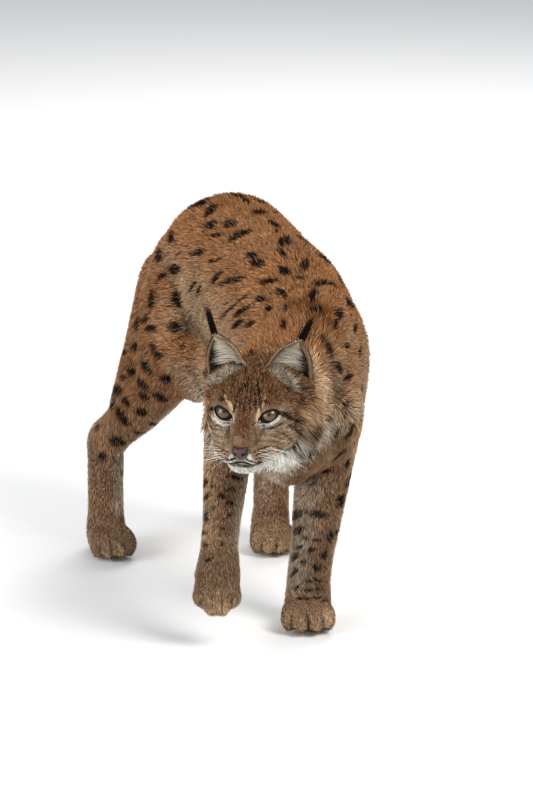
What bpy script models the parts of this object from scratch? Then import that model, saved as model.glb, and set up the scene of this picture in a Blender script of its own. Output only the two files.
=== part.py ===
"""A Eurasian lynx, life size, as a still model: it walks with its head low, the right forepaw lifted.

Metres, +Z up, the lynx heading along -Y, its left side towards +X. The body is modelled whole from
ellipsoids hulled two by two, fused and smoothed, and then parted with thin cuts.
"""
import math
from random import Random

import bmesh
import bpy
from mathutils import Euler, Matrix, Vector
from mathutils.bvhtree import BVHTree

# Driving dimensions
CROUP = 0.610  # height of the back over the hips
WITHERS = 0.552  # height of the back over the shoulders
EYE_HEIGHT = 0.419
EYE_RADIUS = 0.0162
EYE_SPREAD = 0.0355  # from the face's middle to an eye's centre
EYE_SLANT = 27  # degrees by which an eye's outer corner is higher
EYE_OPENING = (0.0156, 0.0098)  # half the length and height between the lids
LID_THICKNESS = 0.0022
HOCK_HEIGHT = 0.180
WRIST_HEIGHT = 0.075
MOUTH_SLIT = 0.0016
EAR_THICKNESS = 0.0035
TUFT_LENGTH = 0.048
TUFT_LOCKS = 5
RUFF_ROWS = (-0.034, -0.055, -0.076)  # how far forward of the eyes the roots of the ruff's locks are
RUFF_LOCKS = 6  # to a row on each cheek
RUFF_ARC = (16, -84)  # degrees above level, from below the ear round to the throat
RUFF_SUNK = 0.014
TAIL_LENGTH = 0.165
GAP = 0.0003  # between pieces that touch
CUT = 0.0004  # width of the cuts that part the body
BODY_VOXEL = 0.0042
HEAD_VOXEL = 0.0022
BODY_FACES = 6300
HEAD_FACES = 3000

# Headings, in degrees from -Y towards +X: the body bends to the lynx's right from hips to head
PELVIS_TURN = 24
LOIN_TURN = 20
CHEST_TURN = 8
HEAD_TURN = -15
HEAD_NOD = 5  # the face points this far below level

# Joints, from the ground up
HIP_R = Vector((-0.128, 0.367, 0.496))
KNEE_R = Vector((-0.158, 0.272, 0.335))
HOCK_R = Vector((-0.266, 0.440, HOCK_HEIGHT))
FOOT_R = Vector((-0.266, 0.425, 0.0255))
HIP_L = Vector((0.018, 0.425, 0.495))
KNEE_L = Vector((0.062, 0.318, 0.330))
HOCK_L = Vector((0.010, 0.465, HOCK_HEIGHT))
FOOT_L = Vector((0.006, 0.450, 0.0255))
SHOULDER_L = Vector((0.112, -0.075, 0.370))
ELBOW_L = Vector((0.096, 0.020, 0.285))
WRIST_L = Vector((0.067, 0.000, WRIST_HEIGHT))
PAW_L = Vector((0.065, -0.012, 0.026))
SHOULDER_R = Vector((0.005, -0.085, 0.365))
ELBOW_R = Vector((-0.060, -0.005, 0.300))
WRIST_R = Vector((-0.074, -0.112, 0.160))
PAW_R = Vector((-0.077, -0.134, 0.118))
TAIL_ROOT = Vector((-0.098, 0.490, 0.540))

EYES = Vector((-0.029, -0.270, EYE_HEIGHT))  # midway between the eyes
NECK_PLANE = -0.095  # how far forward of the eyes the head is cut from the neck

# A place inside each node that the fused body is parted into
SEEDS = {
    "torso": (0.02, 0.18, 0.43),
    "neck": (0.03, -0.12, 0.44),
    "tail": (-0.13, 0.56, 0.45),
    "foreleg_left": (0.10, -0.01, 0.20),
    "foreleg_right": (-0.06, -0.05, 0.25),
    "forepaw_left": (0.065, -0.03, 0.03),
    "forepaw_right": (-0.077, -0.14, 0.11),
    "hind_leg_left": (0.05, 0.38, 0.27),
    "hind_leg_right": (-0.20, 0.35, 0.27),
    "hind_paw_left": (0.0, 0.42, 0.03),
    "hind_paw_right": (-0.26, 0.40, 0.03),
}

# Colours, linear; what isn't listed is coat
COAT = (0.30, 0.17, 0.085)
NODE_COLOURS = {
    "nose": (0.12, 0.050, 0.036),
    "eye_left": (0.20, 0.17, 0.080),
    "eye_right": (0.20, 0.17, 0.080),
    "ear_left": (0.34, 0.27, 0.19),
    "ear_right": (0.34, 0.27, 0.19),
}


def flat_turn(degrees):
    """The matrix whose columns are across (to the lynx's left), back and up at this heading."""
    return Matrix.Rotation(math.radians(degrees), 3, "Z")


HEAD = flat_turn(HEAD_TURN) @ Euler((math.radians(HEAD_NOD), 0, 0)).to_matrix()


def on_head(forward, left, up):
    """A place on the head, in metres forward, left and up from midway between the eyes."""
    return EYES + HEAD @ Vector((left, -forward, up))


def clear_scene():
    for obj in list(bpy.data.objects):
        bpy.data.objects.remove(obj)


def new_object(name, mesh, collection):
    obj = bpy.data.objects.new(name, mesh)
    collection.objects.link(obj)
    return obj


def ball(bm, centre, radii, turn=None, detail=3):
    """Adds an ellipsoid: radii are across, along and up in the frame that turn gives."""
    made = bmesh.ops.create_icosphere(bm, subdivisions=detail, radius=1.0)["verts"]
    size = Matrix.Diagonal(radii if isinstance(radii, tuple) else (radii,) * 3)
    matrix = (turn or Matrix.Identity(3)) @ size
    for vert in made:
        vert.co = matrix @ vert.co + centre
    return made


def convex(bm):
    """Leaves in bm only the closed hull of its points."""
    made = bmesh.ops.convex_hull(bm, input=bm.verts[:])
    spare = {v for v in made["geom_interior"] + made["geom_unused"] if isinstance(v, bmesh.types.BMVert)}
    bmesh.ops.delete(bm, geom=list(spare), context="VERTS")
    loose = [f for f in bm.faces if all(len(e.link_faces) != 2 for e in f.edges)]
    bmesh.ops.delete(bm, geom=loose, context="FACES")
    return bm


def hull(target, stations):
    """Adds to target the closed hulls of each two ellipsoids that follow each other."""
    pairs = list(zip(stations, stations[1:])) or [(stations[0], stations[0])]
    for first, second in pairs:
        bm = bmesh.new()
        ball(bm, *first)
        ball(bm, *second)
        mesh = bpy.data.meshes.new("hull")
        convex(bm).to_mesh(mesh)
        bm.free()
        target.from_mesh(mesh)
        bpy.data.meshes.remove(mesh)


def torso(bm):
    """Rump, loin, ribs, chest and breast along the bent back, the belly and the fold of each flank."""
    pelvis, loin, chest = flat_turn(PELVIS_TURN), flat_turn(LOIN_TURN), flat_turn(CHEST_TURN)
    hull(bm, [
        (Vector((-0.088, 0.462, 0.482)), (0.090, 0.050, 0.098), pelvis),
        (Vector((-0.062, 0.392, CROUP - 0.116)), (0.123, 0.080, 0.118), pelvis),
        (Vector((-0.018, 0.285, CROUP - 0.142)), (0.110, 0.085, 0.132), loin),
        (Vector((0.027, 0.175, CROUP - 0.166)), (0.115, 0.085, 0.142), loin),
        (Vector((0.055, 0.070, WITHERS - 0.140)), (0.111, 0.090, 0.142), chest),
        (Vector((0.058, -0.030, WITHERS - 0.167)), (0.098, 0.080, 0.132), chest),
        (Vector((0.044, -0.100, 0.366)), (0.074, 0.055, 0.094), chest),
    ])
    hull(bm, [
        (Vector((-0.060, 0.330, 0.388)), (0.086, 0.070, 0.072), loin),
        (Vector((-0.032, 0.230, 0.370)), (0.092, 0.070, 0.077), loin),
        (Vector((0.018, 0.120, 0.360)), (0.090, 0.080, 0.082), chest),
        (Vector((0.040, 0.010, 0.336)), (0.072, 0.070, 0.082), chest),
        (Vector((0.034, -0.055, 0.312)), (0.056, 0.050, 0.070), chest),
    ])
    for knee, side in ((KNEE_R, -1), (KNEE_L, 1)):
        hull(bm, [
            (knee + Vector((side * -0.004, -0.012, 0.020)), (0.030, 0.034, 0.042), loin),
            (Vector((-0.040 + side * 0.072, 0.232, 0.354)), (0.032, 0.050, 0.053), loin),
        ])


def neck(bm):
    """From the withers down and round to the back of the head."""
    hull(bm, [
        (Vector((0.066, 0.000, WITHERS - 0.090)), (0.074, 0.070, 0.088), flat_turn(CHEST_TURN)),
        (Vector((0.044, -0.085, 0.440)), (0.078, 0.060, 0.088), flat_turn(-10)),
        (on_head(-0.115, 0.002, -0.012), (0.074, 0.040, 0.078), HEAD),
        (on_head(-0.075, 0.0, -0.006), (0.068, 0.040, 0.066), HEAD),
    ])


def foreleg(bm, shoulder_blade, shoulder, elbow, wrist, foot, lean, width):
    """Shoulder blade, upper arm and forearm down to the foot; width is half that of the forearm."""
    turn = flat_turn(lean)
    hull(bm, [
        (shoulder_blade, (0.022, 0.045, 0.030), turn),
        (shoulder, (0.042, 0.052, 0.060), turn),
    ])
    hull(bm, [
        (shoulder, (0.042, 0.052, 0.055), turn),
        (elbow, (width * 1.10, 0.048, 0.045), turn),
        (elbow.lerp(wrist, 0.35), (width, 0.038, 0.036), turn),
        (elbow.lerp(wrist, 0.75), (width * 0.84, 0.033, 0.032), turn),
        (wrist, (width * 0.82, 0.034, 0.030), turn),
        (foot, (width * 0.86, 0.033, 0.026), turn),
    ])


def paw(bm, heel, front, turn, width, tall, toe_drop=0.0):
    """A furry paw: the foot from heel to front, and four toes that spread ahead of it."""
    hull(bm, [
        (heel, (width * 0.80, 0.030, tall), turn),
        (front, (width, 0.034, tall * 0.95), turn),
    ])
    reach, toe_width = 0.034, width * 0.30
    for spread, ahead in ((-0.74, 0.55), (-0.26, 1.0), (0.26, 1.0), (0.74, 0.55)):
        root = front + turn @ Vector((spread * width * 0.8, -0.008, 0.004))
        tip = front + turn @ Vector((spread * width, -0.014 - reach * ahead, -toe_drop))
        hull(bm, [
            (root, (toe_width, 0.020, tall * 0.80), turn),
            (tip, (toe_width * 1.05, 0.018, tall * 0.74), turn),
        ])


def hind_leg(bm, hip, knee, hock, foot, turn, inward):
    """Thigh, shank and the long foot from hock to toes; inward points from the hip to the spine."""
    back = turn @ Vector((0, 1, 0))
    buttock = hip + back * 0.075 + Vector((0, 0, -0.055))
    hull(bm, [
        (hip + inward * 0.030 + Vector((0, 0, 0.030)), (0.040, 0.080, 0.066), turn),
        (hip + Vector((0, 0, -0.020)), (0.054, 0.086, 0.086), turn),
        (hip.lerp(knee, 0.50) + back * 0.020, (0.050, 0.084, 0.070), turn),
        (knee + back * 0.018, (0.042, 0.052, 0.050), turn),
    ])
    hull(bm, [
        (buttock, (0.048, 0.045, 0.070), turn),
        (hip.lerp(knee, 0.70) + back * 0.065, (0.046, 0.048, 0.055), turn),
        (knee.lerp(hock, 0.50) + back * 0.014, (0.040, 0.042, 0.042), turn),
    ])
    hull(bm, [
        (knee, (0.040, 0.046, 0.048), turn),
        (knee.lerp(hock, 0.45), (0.040, 0.042, 0.044), turn),
        (knee.lerp(hock, 0.80), (0.033, 0.032, 0.035), turn),
        (hock, (0.031, 0.034, 0.038), turn),
        (hock.lerp(foot, 0.40), (0.031, 0.030, 0.030), turn),
        (hock.lerp(foot, 0.75), (0.031, 0.030, 0.030), turn),
        (foot, (0.033, 0.034, 0.030), turn),
    ])


def tail(bm):
    """Short and blunt, hanging behind the rump."""
    down = TAIL_ROOT + Vector((-0.028, 0.060, -0.060))
    tip = TAIL_ROOT + Vector((-0.036, 0.072, -TAIL_LENGTH))
    hull(bm, [
        (TAIL_ROOT + Vector((0.020, -0.050, 0.010)), 0.030),
        (TAIL_ROOT, 0.029),
        (down, 0.026),
        (tip, 0.024),
    ])


def skull(bm):
    """Cranium, brows, cheeks, muzzle, whisker pads, chin and the mass under the cheek ruff."""
    def at(forward, left, up, radii):
        return (on_head(forward, left, up), radii, HEAD)

    hull(bm, [
        at(-0.075, 0, 0.002, (0.068, 0.068, 0.063)),
        at(-0.036, 0, 0.007, (0.060, 0.040, 0.047)),
        at(-0.012, 0, 0.001, (0.045, 0.026, 0.034)),
    ])
    hull(bm, [
        at(-0.006, 0, -0.003, (0.029, 0.022, 0.028)),
        at(0.016, 0, -0.024, (0.024, 0.021, 0.020)),
        at(0.040, 0, -0.0405, (0.0175, 0.0130, 0.0130)),
    ])
    hull(bm, [
        at(-0.040, 0, -0.052, (0.054, 0.040, 0.032)),
        at(0.002, 0, -0.062, (0.038, 0.030, 0.024)),
        at(0.027, 0, -0.0735, (0.0270, 0.0175, 0.0150)),
    ])
    for side in (-1, 1):
        hull(bm, [
            at(-0.058, side * 0.047, -0.028, (0.035, 0.046, 0.044)),
            at(-0.018, side * 0.034, -0.037, (0.031, 0.030, 0.032)),
            at(0.012, side * 0.0300, -0.050, (0.0220, 0.0240, 0.0215)),
            at(0.033, side * 0.0205, -0.0540, (0.0210, 0.0190, 0.0165)),
        ])
        hull(bm, [
            at(-0.012, side * 0.041, -0.016, (0.020, 0.020, 0.018)),
            at(-0.055, side * 0.056, -0.006, (0.020, 0.035, 0.032)),
        ])
        hull(bm, [
            at(-0.002, side * 0.034, 0.013, (0.018, 0.012, 0.009)),
            at(-0.046, side * 0.042, 0.008, (0.020, 0.030, 0.030)),
        ])
        hull(bm, [
            at(-0.064, side * 0.038, 0.040, (0.022, 0.022, 0.020)),
            at(-0.074, side * 0.064, 0.014, (0.024, 0.028, 0.030)),
            at(-0.072, side * 0.062, -0.022, (0.020, 0.030, 0.032)),
        ])
        hull(bm, [at(0, side * EYE_SPREAD, 0, (EYE_RADIUS + LID_THICKNESS,) * 3)])


def fused(name, build, voxel, smoothing, triangles, collection):
    """One closed skin round all that build adds, smoothed where the masses meet."""
    bm = bmesh.new()
    for function in build:
        function(bm)
    mesh = bpy.data.meshes.new(name)
    bm.to_mesh(mesh)
    bm.free()
    obj = new_object(name, mesh, collection)
    remesh = obj.modifiers.new("fuse", "REMESH")
    remesh.mode = "VOXEL"
    remesh.voxel_size = voxel
    smooth = obj.modifiers.new("smooth", "SMOOTH")
    smooth.factor = 0.5
    smooth.iterations = smoothing
    apply_modifiers(obj)
    keep_largest(obj)
    faces = sum(len(p.vertices) - 2 for p in obj.data.polygons)
    thin = obj.modifiers.new("thin", "DECIMATE")
    thin.ratio = min(1.0, triangles / faces)
    apply_modifiers(obj)
    return obj


def apply_modifiers(obj):
    graph = bpy.context.evaluated_depsgraph_get()
    mesh = bpy.data.meshes.new_from_object(obj.evaluated_get(graph))
    obj.modifiers.clear()
    old = obj.data
    obj.data = mesh
    bpy.data.meshes.remove(old)


def loose_parts(bm):
    """The lists of faces that hang together."""
    left, parts = set(bm.faces), []
    while left:
        first = left.pop()
        part, stack = [first], [first]
        while stack:
            for edge in stack.pop().edges:
                for face in edge.link_faces:
                    if face in left:
                        left.remove(face)
                        part.append(face)
                        stack.append(face)
        parts.append(part)
    return parts


def size_of(part):
    """Six times the volume inside a closed list of faces."""
    total = 0.0
    for face in part:
        first, *rest = [v.co for v in face.verts]
        for second, third in zip(rest, rest[1:]):
            total += first.dot(second.cross(third))
    return total


def keep_largest(obj):
    bm = bmesh.new()
    bm.from_mesh(obj.data)
    parts = sorted(loose_parts(bm), key=size_of)
    spare = [face for part in parts[:-1] for face in part]
    bmesh.ops.delete(bm, geom=spare, context="FACES")
    bm.to_mesh(obj.data)
    bm.free()


def paws(bm):
    forward = flat_turn(CHEST_TURN - 6)
    paw(bm, PAW_L + Vector((0.002, 0.020, 0)), PAW_L + Vector((0, -0.016, 0)), forward, 0.043, 0.030)
    hang = flat_turn(-4) @ Euler((math.radians(70), 0, 0)).to_matrix()
    paw(bm, WRIST_R + Vector((0, -0.008, -0.006)), PAW_R, hang, 0.038, 0.030)
    for foot, turn in ((FOOT_R, flat_turn(PELVIS_TURN - 12)), (FOOT_L, flat_turn(4))):
        ahead = turn @ Vector((0, -1, 0))
        paw(bm, foot + ahead * 0.004, foot + ahead * 0.034, turn, 0.038, 0.030)


def limbs(bm):
    blade_left, blade_right = Vector((0.100, 0.028, WITHERS - 0.034)), Vector((0.030, 0.022, WITHERS - 0.046))
    heel_left, heel_right = PAW_L + Vector((0.001, 0.012, 0.012)), WRIST_R.lerp(PAW_R, 0.3)
    foreleg(bm, blade_left, SHOULDER_L, ELBOW_L, WRIST_L, heel_left, CHEST_TURN, 0.044)
    foreleg(bm, blade_right, SHOULDER_R, ELBOW_R, WRIST_R, heel_right, 0, 0.037)
    right = flat_turn(PELVIS_TURN) @ Vector((-1, 0, 0))
    hind_leg(bm, HIP_R, KNEE_R, HOCK_R, FOOT_R, flat_turn(PELVIS_TURN + 6), -right)
    hind_leg(bm, HIP_L, KNEE_L, HOCK_L, FOOT_L, flat_turn(PELVIS_TURN - 6), right)


def mesh_object(name, bm, collection):
    mesh = bpy.data.meshes.new(name)
    bm.to_mesh(mesh)
    bm.free()
    return new_object(name, mesh, collection)


def slab(centre, normal, along, half_along, half_across, thick=CUT):
    """A thin box across the body, square to normal, whose first side follows along."""
    normal = Vector(normal).normalized()
    first = Vector(along) - normal * normal.dot(Vector(along))
    first.normalize()
    turn = Matrix((first, normal.cross(first), normal)).transposed()
    bm = bmesh.new()
    bmesh.ops.create_cube(bm, size=1.0)
    size = Matrix.Diagonal((2 * half_along, 2 * half_across, thick))
    for vert in bm.verts:
        vert.co = turn @ size @ vert.co + Vector(centre)
    return bm


def body_cuts():
    """The thin cuts between the body's nodes, the room for the head and the level under the soles."""
    deep, wide = 0.4, 2.0
    forearm = WRIST_R - ELBOW_R
    pelvis_right = flat_turn(PELVIS_TURN) @ Vector((-1, 0, 0))
    back = flat_turn(PELVIS_TURN) @ Vector((0, 1, 0))
    down = Vector((0, 0, -1))
    head_forward = HEAD @ Vector((0, -1, 0))
    return [
        slab(on_head(NECK_PLANE + 0.09 - CUT, 0, 0), head_forward, (1, 0, 0), 0.13, 0.13, 0.18),
        slab((0, 0, -deep / 2), (0, 0, 1), (1, 0, 0), wide, wide, deep),
        slab((0.047, -0.085, 0.435), (-0.22, -0.80, 0.42), (1, 0, 0), 0.125, 0.155),
        slab((0.096, -0.025, 0.2965), (0.62, -0.30, -0.72), (0, 1, 0), 0.135, 0.110),
        slab((-0.045, -0.0375, 0.3130), (-0.841, 0, -0.541), (0, 1, 0), 0.0925, 0.068),
        slab((0.067, -0.005, 0.062), (0, 0, 1), (1, 0, 0), 0.060, 0.060),
        slab(WRIST_R + forearm * 0.02, forearm, (1, 0, 0), 0.052, 0.052),
        slab((-0.266, 0.425, 0.064), (0, 0, 1), (1, 0, 0), 0.055, 0.055),
        slab((0.006, 0.450, 0.064), (0, 0, 1), (1, 0, 0), 0.055, 0.055),
        slab((-0.145, 0.331, 0.387), pelvis_right * 0.62 + down * 0.62 + back * 0.48, back, 0.178, 0.125),
        slab((0.038, 0.392, 0.392), pelvis_right * -0.66 + down * 0.70 + back * 0.25, back, 0.165, 0.120),
        slab((-0.117, 0.517, 0.515), back + down * 0.1, (1, 0, 0), 0.060, 0.078),
    ]


def boolean(obj, operands, operation, solver="EXACT"):
    """One Boolean of obj with the operands, applied; the operands are then removed."""
    cutters = bpy.data.collections.new("cutters")
    bpy.context.scene.collection.children.link(cutters)
    for number, operand in enumerate(operands):
        if isinstance(operand, bmesh.types.BMesh):
            mesh_object(f"operand_{number}", operand, cutters)
        else:
            cutters.objects.link(operand)
    modifier = obj.modifiers.new("boolean", "BOOLEAN")
    modifier.operation = operation
    modifier.solver = solver
    modifier.operand_type = "COLLECTION"
    modifier.collection = cutters
    apply_modifiers(obj)
    for operand in list(cutters.objects):
        bpy.data.objects.remove(operand)
    bpy.data.collections.remove(cutters)


def centre_of(part):
    """The centre of the volume inside a closed list of faces."""
    total, weighted = 0.0, Vector()
    for face in part:
        first, *rest = [v.co for v in face.verts]
        for second, third in zip(rest, rest[1:]):
            volume = first.dot(second.cross(third))
            total += volume
            weighted += (first + second + third) * (volume / 4)
    return weighted / total


def split(obj, seeds, collection):
    """Each loose part of obj becomes the object whose seed its centre is nearest to."""
    bm = bmesh.new()
    bm.from_mesh(obj.data)
    bpy.data.objects.remove(obj)
    parts = sorted(loose_parts(bm), key=size_of)[-len(seeds):]
    centres = [centre_of(part) for part in parts]
    taken = set()
    for name, seed in seeds.items():
        number = min(range(len(parts)), key=lambda n: (centres[n] - Vector(seed)).length)
        if number in taken:
            raise ValueError(f"{name} wasn't parted from its neighbour")
        taken.add(number)
        keep = {face.index for face in parts[number]}
        piece = bm.copy()
        spare = [face for face in piece.faces if face.index not in keep]
        bmesh.ops.delete(piece, geom=spare, context="FACES")
        mesh_object(name, piece, collection)
    bm.free()


def eye_frame(side):
    """An eye's centre, and the turn whose -Y looks out of it."""
    outward = flat_turn(side * 6) @ Euler((math.radians(-8), 0, 0)).to_matrix()
    return on_head(0, side * EYE_SPREAD, 0), HEAD @ outward


def eyeball(side, radius):
    bm = bmesh.new()
    centre, turn = eye_frame(side)
    ball(bm, centre, radius, turn)
    look = turn @ Vector((0, -1, 0))
    for vert in bm.verts:
        ahead = (vert.co - centre).normalized().dot(look)
        vert.co += look * 0.0010 * max(0.0, (ahead - 0.70) / 0.30)
    return bm


def eye_opening(side):
    """The almond between the lids, as a short prism along the gaze."""
    centre, turn = eye_frame(side)
    slant = Euler((0, math.radians(-side * EYE_SLANT), 0)).to_matrix()
    half_length, half_height = EYE_OPENING
    bm = bmesh.new()
    bmesh.ops.create_cone(bm, cap_ends=True, segments=16, radius1=1, radius2=1, depth=0.020)
    for vert in bm.verts:
        x, y, z = vert.co
        pointed = math.copysign(abs(y) ** 1.2, y)
        place = Vector((x * half_length, -0.013 - z, pointed * half_height))
        vert.co = centre + turn @ slant @ place
    return bm


def nose_leather(grow):
    """The bare nose: a wedge wider above, with a rounded tip, grown outwards by grow."""
    points = bmesh.new()
    for forward, left, up, radius in (
        (0.0480, 0.0092, -0.0400, 0.0036), (0.0480, -0.0092, -0.0400, 0.0036),
        (0.0540, 0.0030, -0.0440, 0.0045), (0.0540, -0.0030, -0.0440, 0.0045),
        (0.0505, 0.0086, -0.0480, 0.0036), (0.0505, -0.0086, -0.0480, 0.0036),
        (0.0505, 0.0000, -0.0550, 0.0030), (0.0400, 0.0000, -0.0455, 0.0070),
    ):
        ball(points, on_head(forward, left, up), radius + grow, HEAD, 2)
    return convex(points)


def nostrils():
    pits = []
    for side in (-1, 1):
        turn = HEAD @ Euler((0, math.radians(side * 35), math.radians(side * 20))).to_matrix()
        bm = bmesh.new()
        ball(bm, on_head(0.0565, side * 0.0062, -0.0482), (0.0020, 0.0050, 0.0030), turn, 2)
        pits.append(bm)
    return pits


def mouth_line():
    """The slit between the lips, from one corner of the mouth round the front to the other."""
    bm = bmesh.new()
    bmesh.ops.create_grid(bm, x_segments=18, y_segments=1, size=1)
    for vert in bm.verts:
        t, depth = vert.co.x, vert.co.y
        reach = 1.0 + 0.18 * depth
        forward = -0.004 + (0.060 - 0.046 * abs(t) ** 1.7) * reach
        left = 0.0460 * math.sin(t * math.pi / 2) * reach
        up = -0.0640 - 0.0060 * math.sin(min(1.0, abs(t) * 1.6) * math.pi / 2) + 0.006 * abs(t) ** 4
        vert.co = on_head(forward, left, up)
    return bm


def solid_sheet(name, bm, thick, offset, collection):
    """A sheet given its thickness."""
    obj = mesh_object(name, bm, collection)
    shell = obj.modifiers.new("thick", "SOLIDIFY")
    shell.thickness = thick
    shell.offset = offset
    apply_modifiers(obj)
    fresh = bmesh.new()
    fresh.from_mesh(obj.data)
    bmesh.ops.recalc_face_normals(fresh, faces=fresh.faces)
    fresh.to_mesh(obj.data)
    fresh.free()
    return obj


def ear_point(side, across, height):
    """A place on the ear's shell: across from -1, inner edge, to 1, outer edge; height from 0 to 1."""
    inner_base, outer_base, tip = (-0.052, 0.020, 0.062), (-0.074, 0.081, 0.028), (-0.064, 0.068, 0.102)
    up_ear = max(0.0, height)
    bulge = 0.006 * math.sin(math.pi * min(1.0, up_ear))
    inner = [a + (b - a) * up_ear for a, b in zip(inner_base, tip)]
    outer = [a + (b - a) * up_ear for a, b in zip(outer_base, tip)]
    inner[1], inner[2] = inner[1] - bulge * 0.5, inner[2] + bulge
    outer[1] += bulge * 1.2
    depth = 0.030 * (1 - min(1.0, up_ear)) ** 0.8 + 0.002
    reach, hollow = math.sin(across * math.pi / 2), math.cos(across * math.pi / 2) * depth
    forward, left, up = [(a + b) / 2 + (b - a) / 2 * reach for a, b in zip(inner, outer)]
    sunk = min(0.0, height)
    return on_head(forward - hollow, side * (left + hollow * 0.10 + sunk * 0.09), up + hollow * 0.15 + sunk * 0.10)


def lock(root, direction, outward, length, width, thick, bend):
    """A flat lock that tapers to its tip, bent outward by bend, or inward where that is below 0."""
    along = direction.normalized()
    across = along.cross(outward).normalized()
    normal = across.cross(along)
    bm = bmesh.new()
    bmesh.ops.create_cone(bm, cap_ends=True, segments=4, radius1=1, radius2=1, depth=1)
    for level in (-0.10, 0.18, 0.36):
        geom = bm.verts[:] + bm.edges[:] + bm.faces[:]
        bmesh.ops.bisect_plane(bm, geom=geom, plane_co=(0, 0, level), plane_no=(0, 0, 1))
    for vert in bm.verts:
        x, y, z = vert.co
        t = z + 0.5
        taper = max(0.10, 1 - t ** 2.2)
        side = across * (x * taper * width / 2) + normal * (y * taper * thick / 2)
        vert.co = root + along * (t * length) + normal * (bend * t * t) + side
    if bm.calc_volume(signed=True) < 0:
        bmesh.ops.reverse_faces(bm, faces=bm.faces)
    return bm


def tuft(side):
    """The long dark hairs on the ear's tip: thin locks that draw together to a point above it."""
    random = Random(17 + side)
    outward = HEAD @ Vector((side, -0.4, 0))
    tip = ear_point(side, 0, 0.93)
    point = tip + HEAD @ Vector((side * 0.34, 0.07, 1.0)).normalized() * TUFT_LENGTH
    locks = []
    for number in range(TUFT_LOCKS):
        spread = number / (TUFT_LOCKS - 1) * 2 - 1
        root = ear_point(side, 0.62 * spread, 0.93 - 0.09 * abs(spread))
        along = point + HEAD @ Vector((0.006 * spread, random.uniform(-0.005, 0.005), 0)) - root
        reach = (along.length + 0.004) * (1 - 0.30 * abs(spread) ** 1.5 - random.uniform(0, 0.05))
        along.normalize()
        locks.append(lock(root - along * 0.004, along, outward, reach, 0.0062, 0.0030, 0.003))
    return locks


def ruff(head):
    """Flat locks over each cheek, from below the ear round to the throat, longest at the jaw's corner."""
    bare = grown(head, 0)
    skin = BVHTree.FromBMesh(bare)
    bare.free()
    random = Random(41)
    back, down = HEAD @ Vector((0, 1, 0)), HEAD @ Vector((0, 0, -1))
    locks = []
    for side in (-1, 1):
        for row, forward in enumerate(RUFF_ROWS):
            for number in range(RUFF_LOCKS):
                share = (number + 0.5 * (row % 2) + random.uniform(-0.12, 0.12)) / (RUFF_LOCKS - 0.5)
                angle = math.radians(RUFF_ARC[0] + (RUFF_ARC[1] - RUFF_ARC[0]) * share)
                outward = HEAD @ Vector((side * math.cos(angle), 0, math.sin(angle)))
                place = skin.ray_cast(on_head(forward, 0, -0.020), outward)[0]
                hang = max(0.0, 1 - abs(share - 0.55) / 0.55)
                out, droop = random.uniform(0.40, 0.52), random.uniform(0.5, 0.7)
                direction = (outward * out + back * random.uniform(0.34, 0.48) + down * droop).normalized()
                length = 0.042 + 0.018 * hang + random.uniform(-0.004, 0.004)
                root = place - direction * RUFF_SUNK
                width, thick = random.uniform(0.025, 0.031), random.uniform(0.0060, 0.0075)
                locks.append(lock(root, direction, outward, length, width, thick, -0.004))
    return locks


def ear(name, side, collection):
    """The cupped shell and its tuft."""
    bm = bmesh.new()
    bmesh.ops.create_grid(bm, x_segments=8, y_segments=8, size=1)
    for vert in bm.verts:
        low, high = -0.30, 0.965
        vert.co = ear_point(side, vert.co.x, low + (high - low) * (vert.co.y + 1) / 2)
    obj = solid_sheet(name, bm, EAR_THICKNESS, -side, collection)
    boolean(obj, tuft(side), "UNION")
    return obj


def grown(obj, by):
    """A copy of obj's mesh with its surface moved outwards."""
    bm = bmesh.new()
    bm.from_mesh(obj.data)
    bm.normal_update()
    moves = [vert.normal * by for vert in bm.verts]
    for vert, move in zip(bm.verts, moves):
        vert.co += move
    return bm


def finish(obj, colour, roughness):
    material = bpy.data.materials.new(obj.name)
    material.use_nodes = True
    shader = material.node_tree.nodes["Principled BSDF"]
    shader.inputs["Base Color"].default_value = (*colour, 1)
    shader.inputs["Roughness"].default_value = roughness
    shader.inputs["Metallic"].default_value = 0.0
    obj.data.materials.clear()
    obj.data.materials.append(material)


def make_head(collection):
    head = fused("head", [neck, skull], HEAD_VOXEL, 4, HEAD_FACES, collection)
    forward = HEAD @ Vector((0, -1, 0))
    behind = slab(on_head(NECK_PLANE - 0.25, 0, 0), forward, (1, 0, 0), 0.3, 0.3, 0.5)
    sockets = [eyeball(side, EYE_RADIUS + GAP) for side in (-1, 1)]
    openings = [eye_opening(side) for side in (-1, 1)]
    boolean(head, [behind, nose_leather(GAP)] + sockets + openings, "DIFFERENCE")
    slit = solid_sheet("slit", mouth_line(), MOUTH_SLIT, 0, collection)
    boolean(head, [slit], "DIFFERENCE")
    boolean(head, ruff(head), "UNION")
    boolean(head, [grown(bpy.data.objects["neck"], GAP)], "DIFFERENCE")
    keep_largest(head)
    return head


def to_bottom_centre(collection):
    """Moves every mesh so that the whole model's box stands centred on the origin."""
    places = [vert.co for obj in collection.objects for vert in obj.data.vertices]
    low, high = ([pick(p[axis] for p in places) for axis in range(3)] for pick in (min, max))
    shift = Vector((-(low[0] + high[0]) / 2, -(low[1] + high[1]) / 2, -low[2]))
    for obj in collection.objects:
        obj.data.transform(Matrix.Translation(shift))
    return shift


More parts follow.
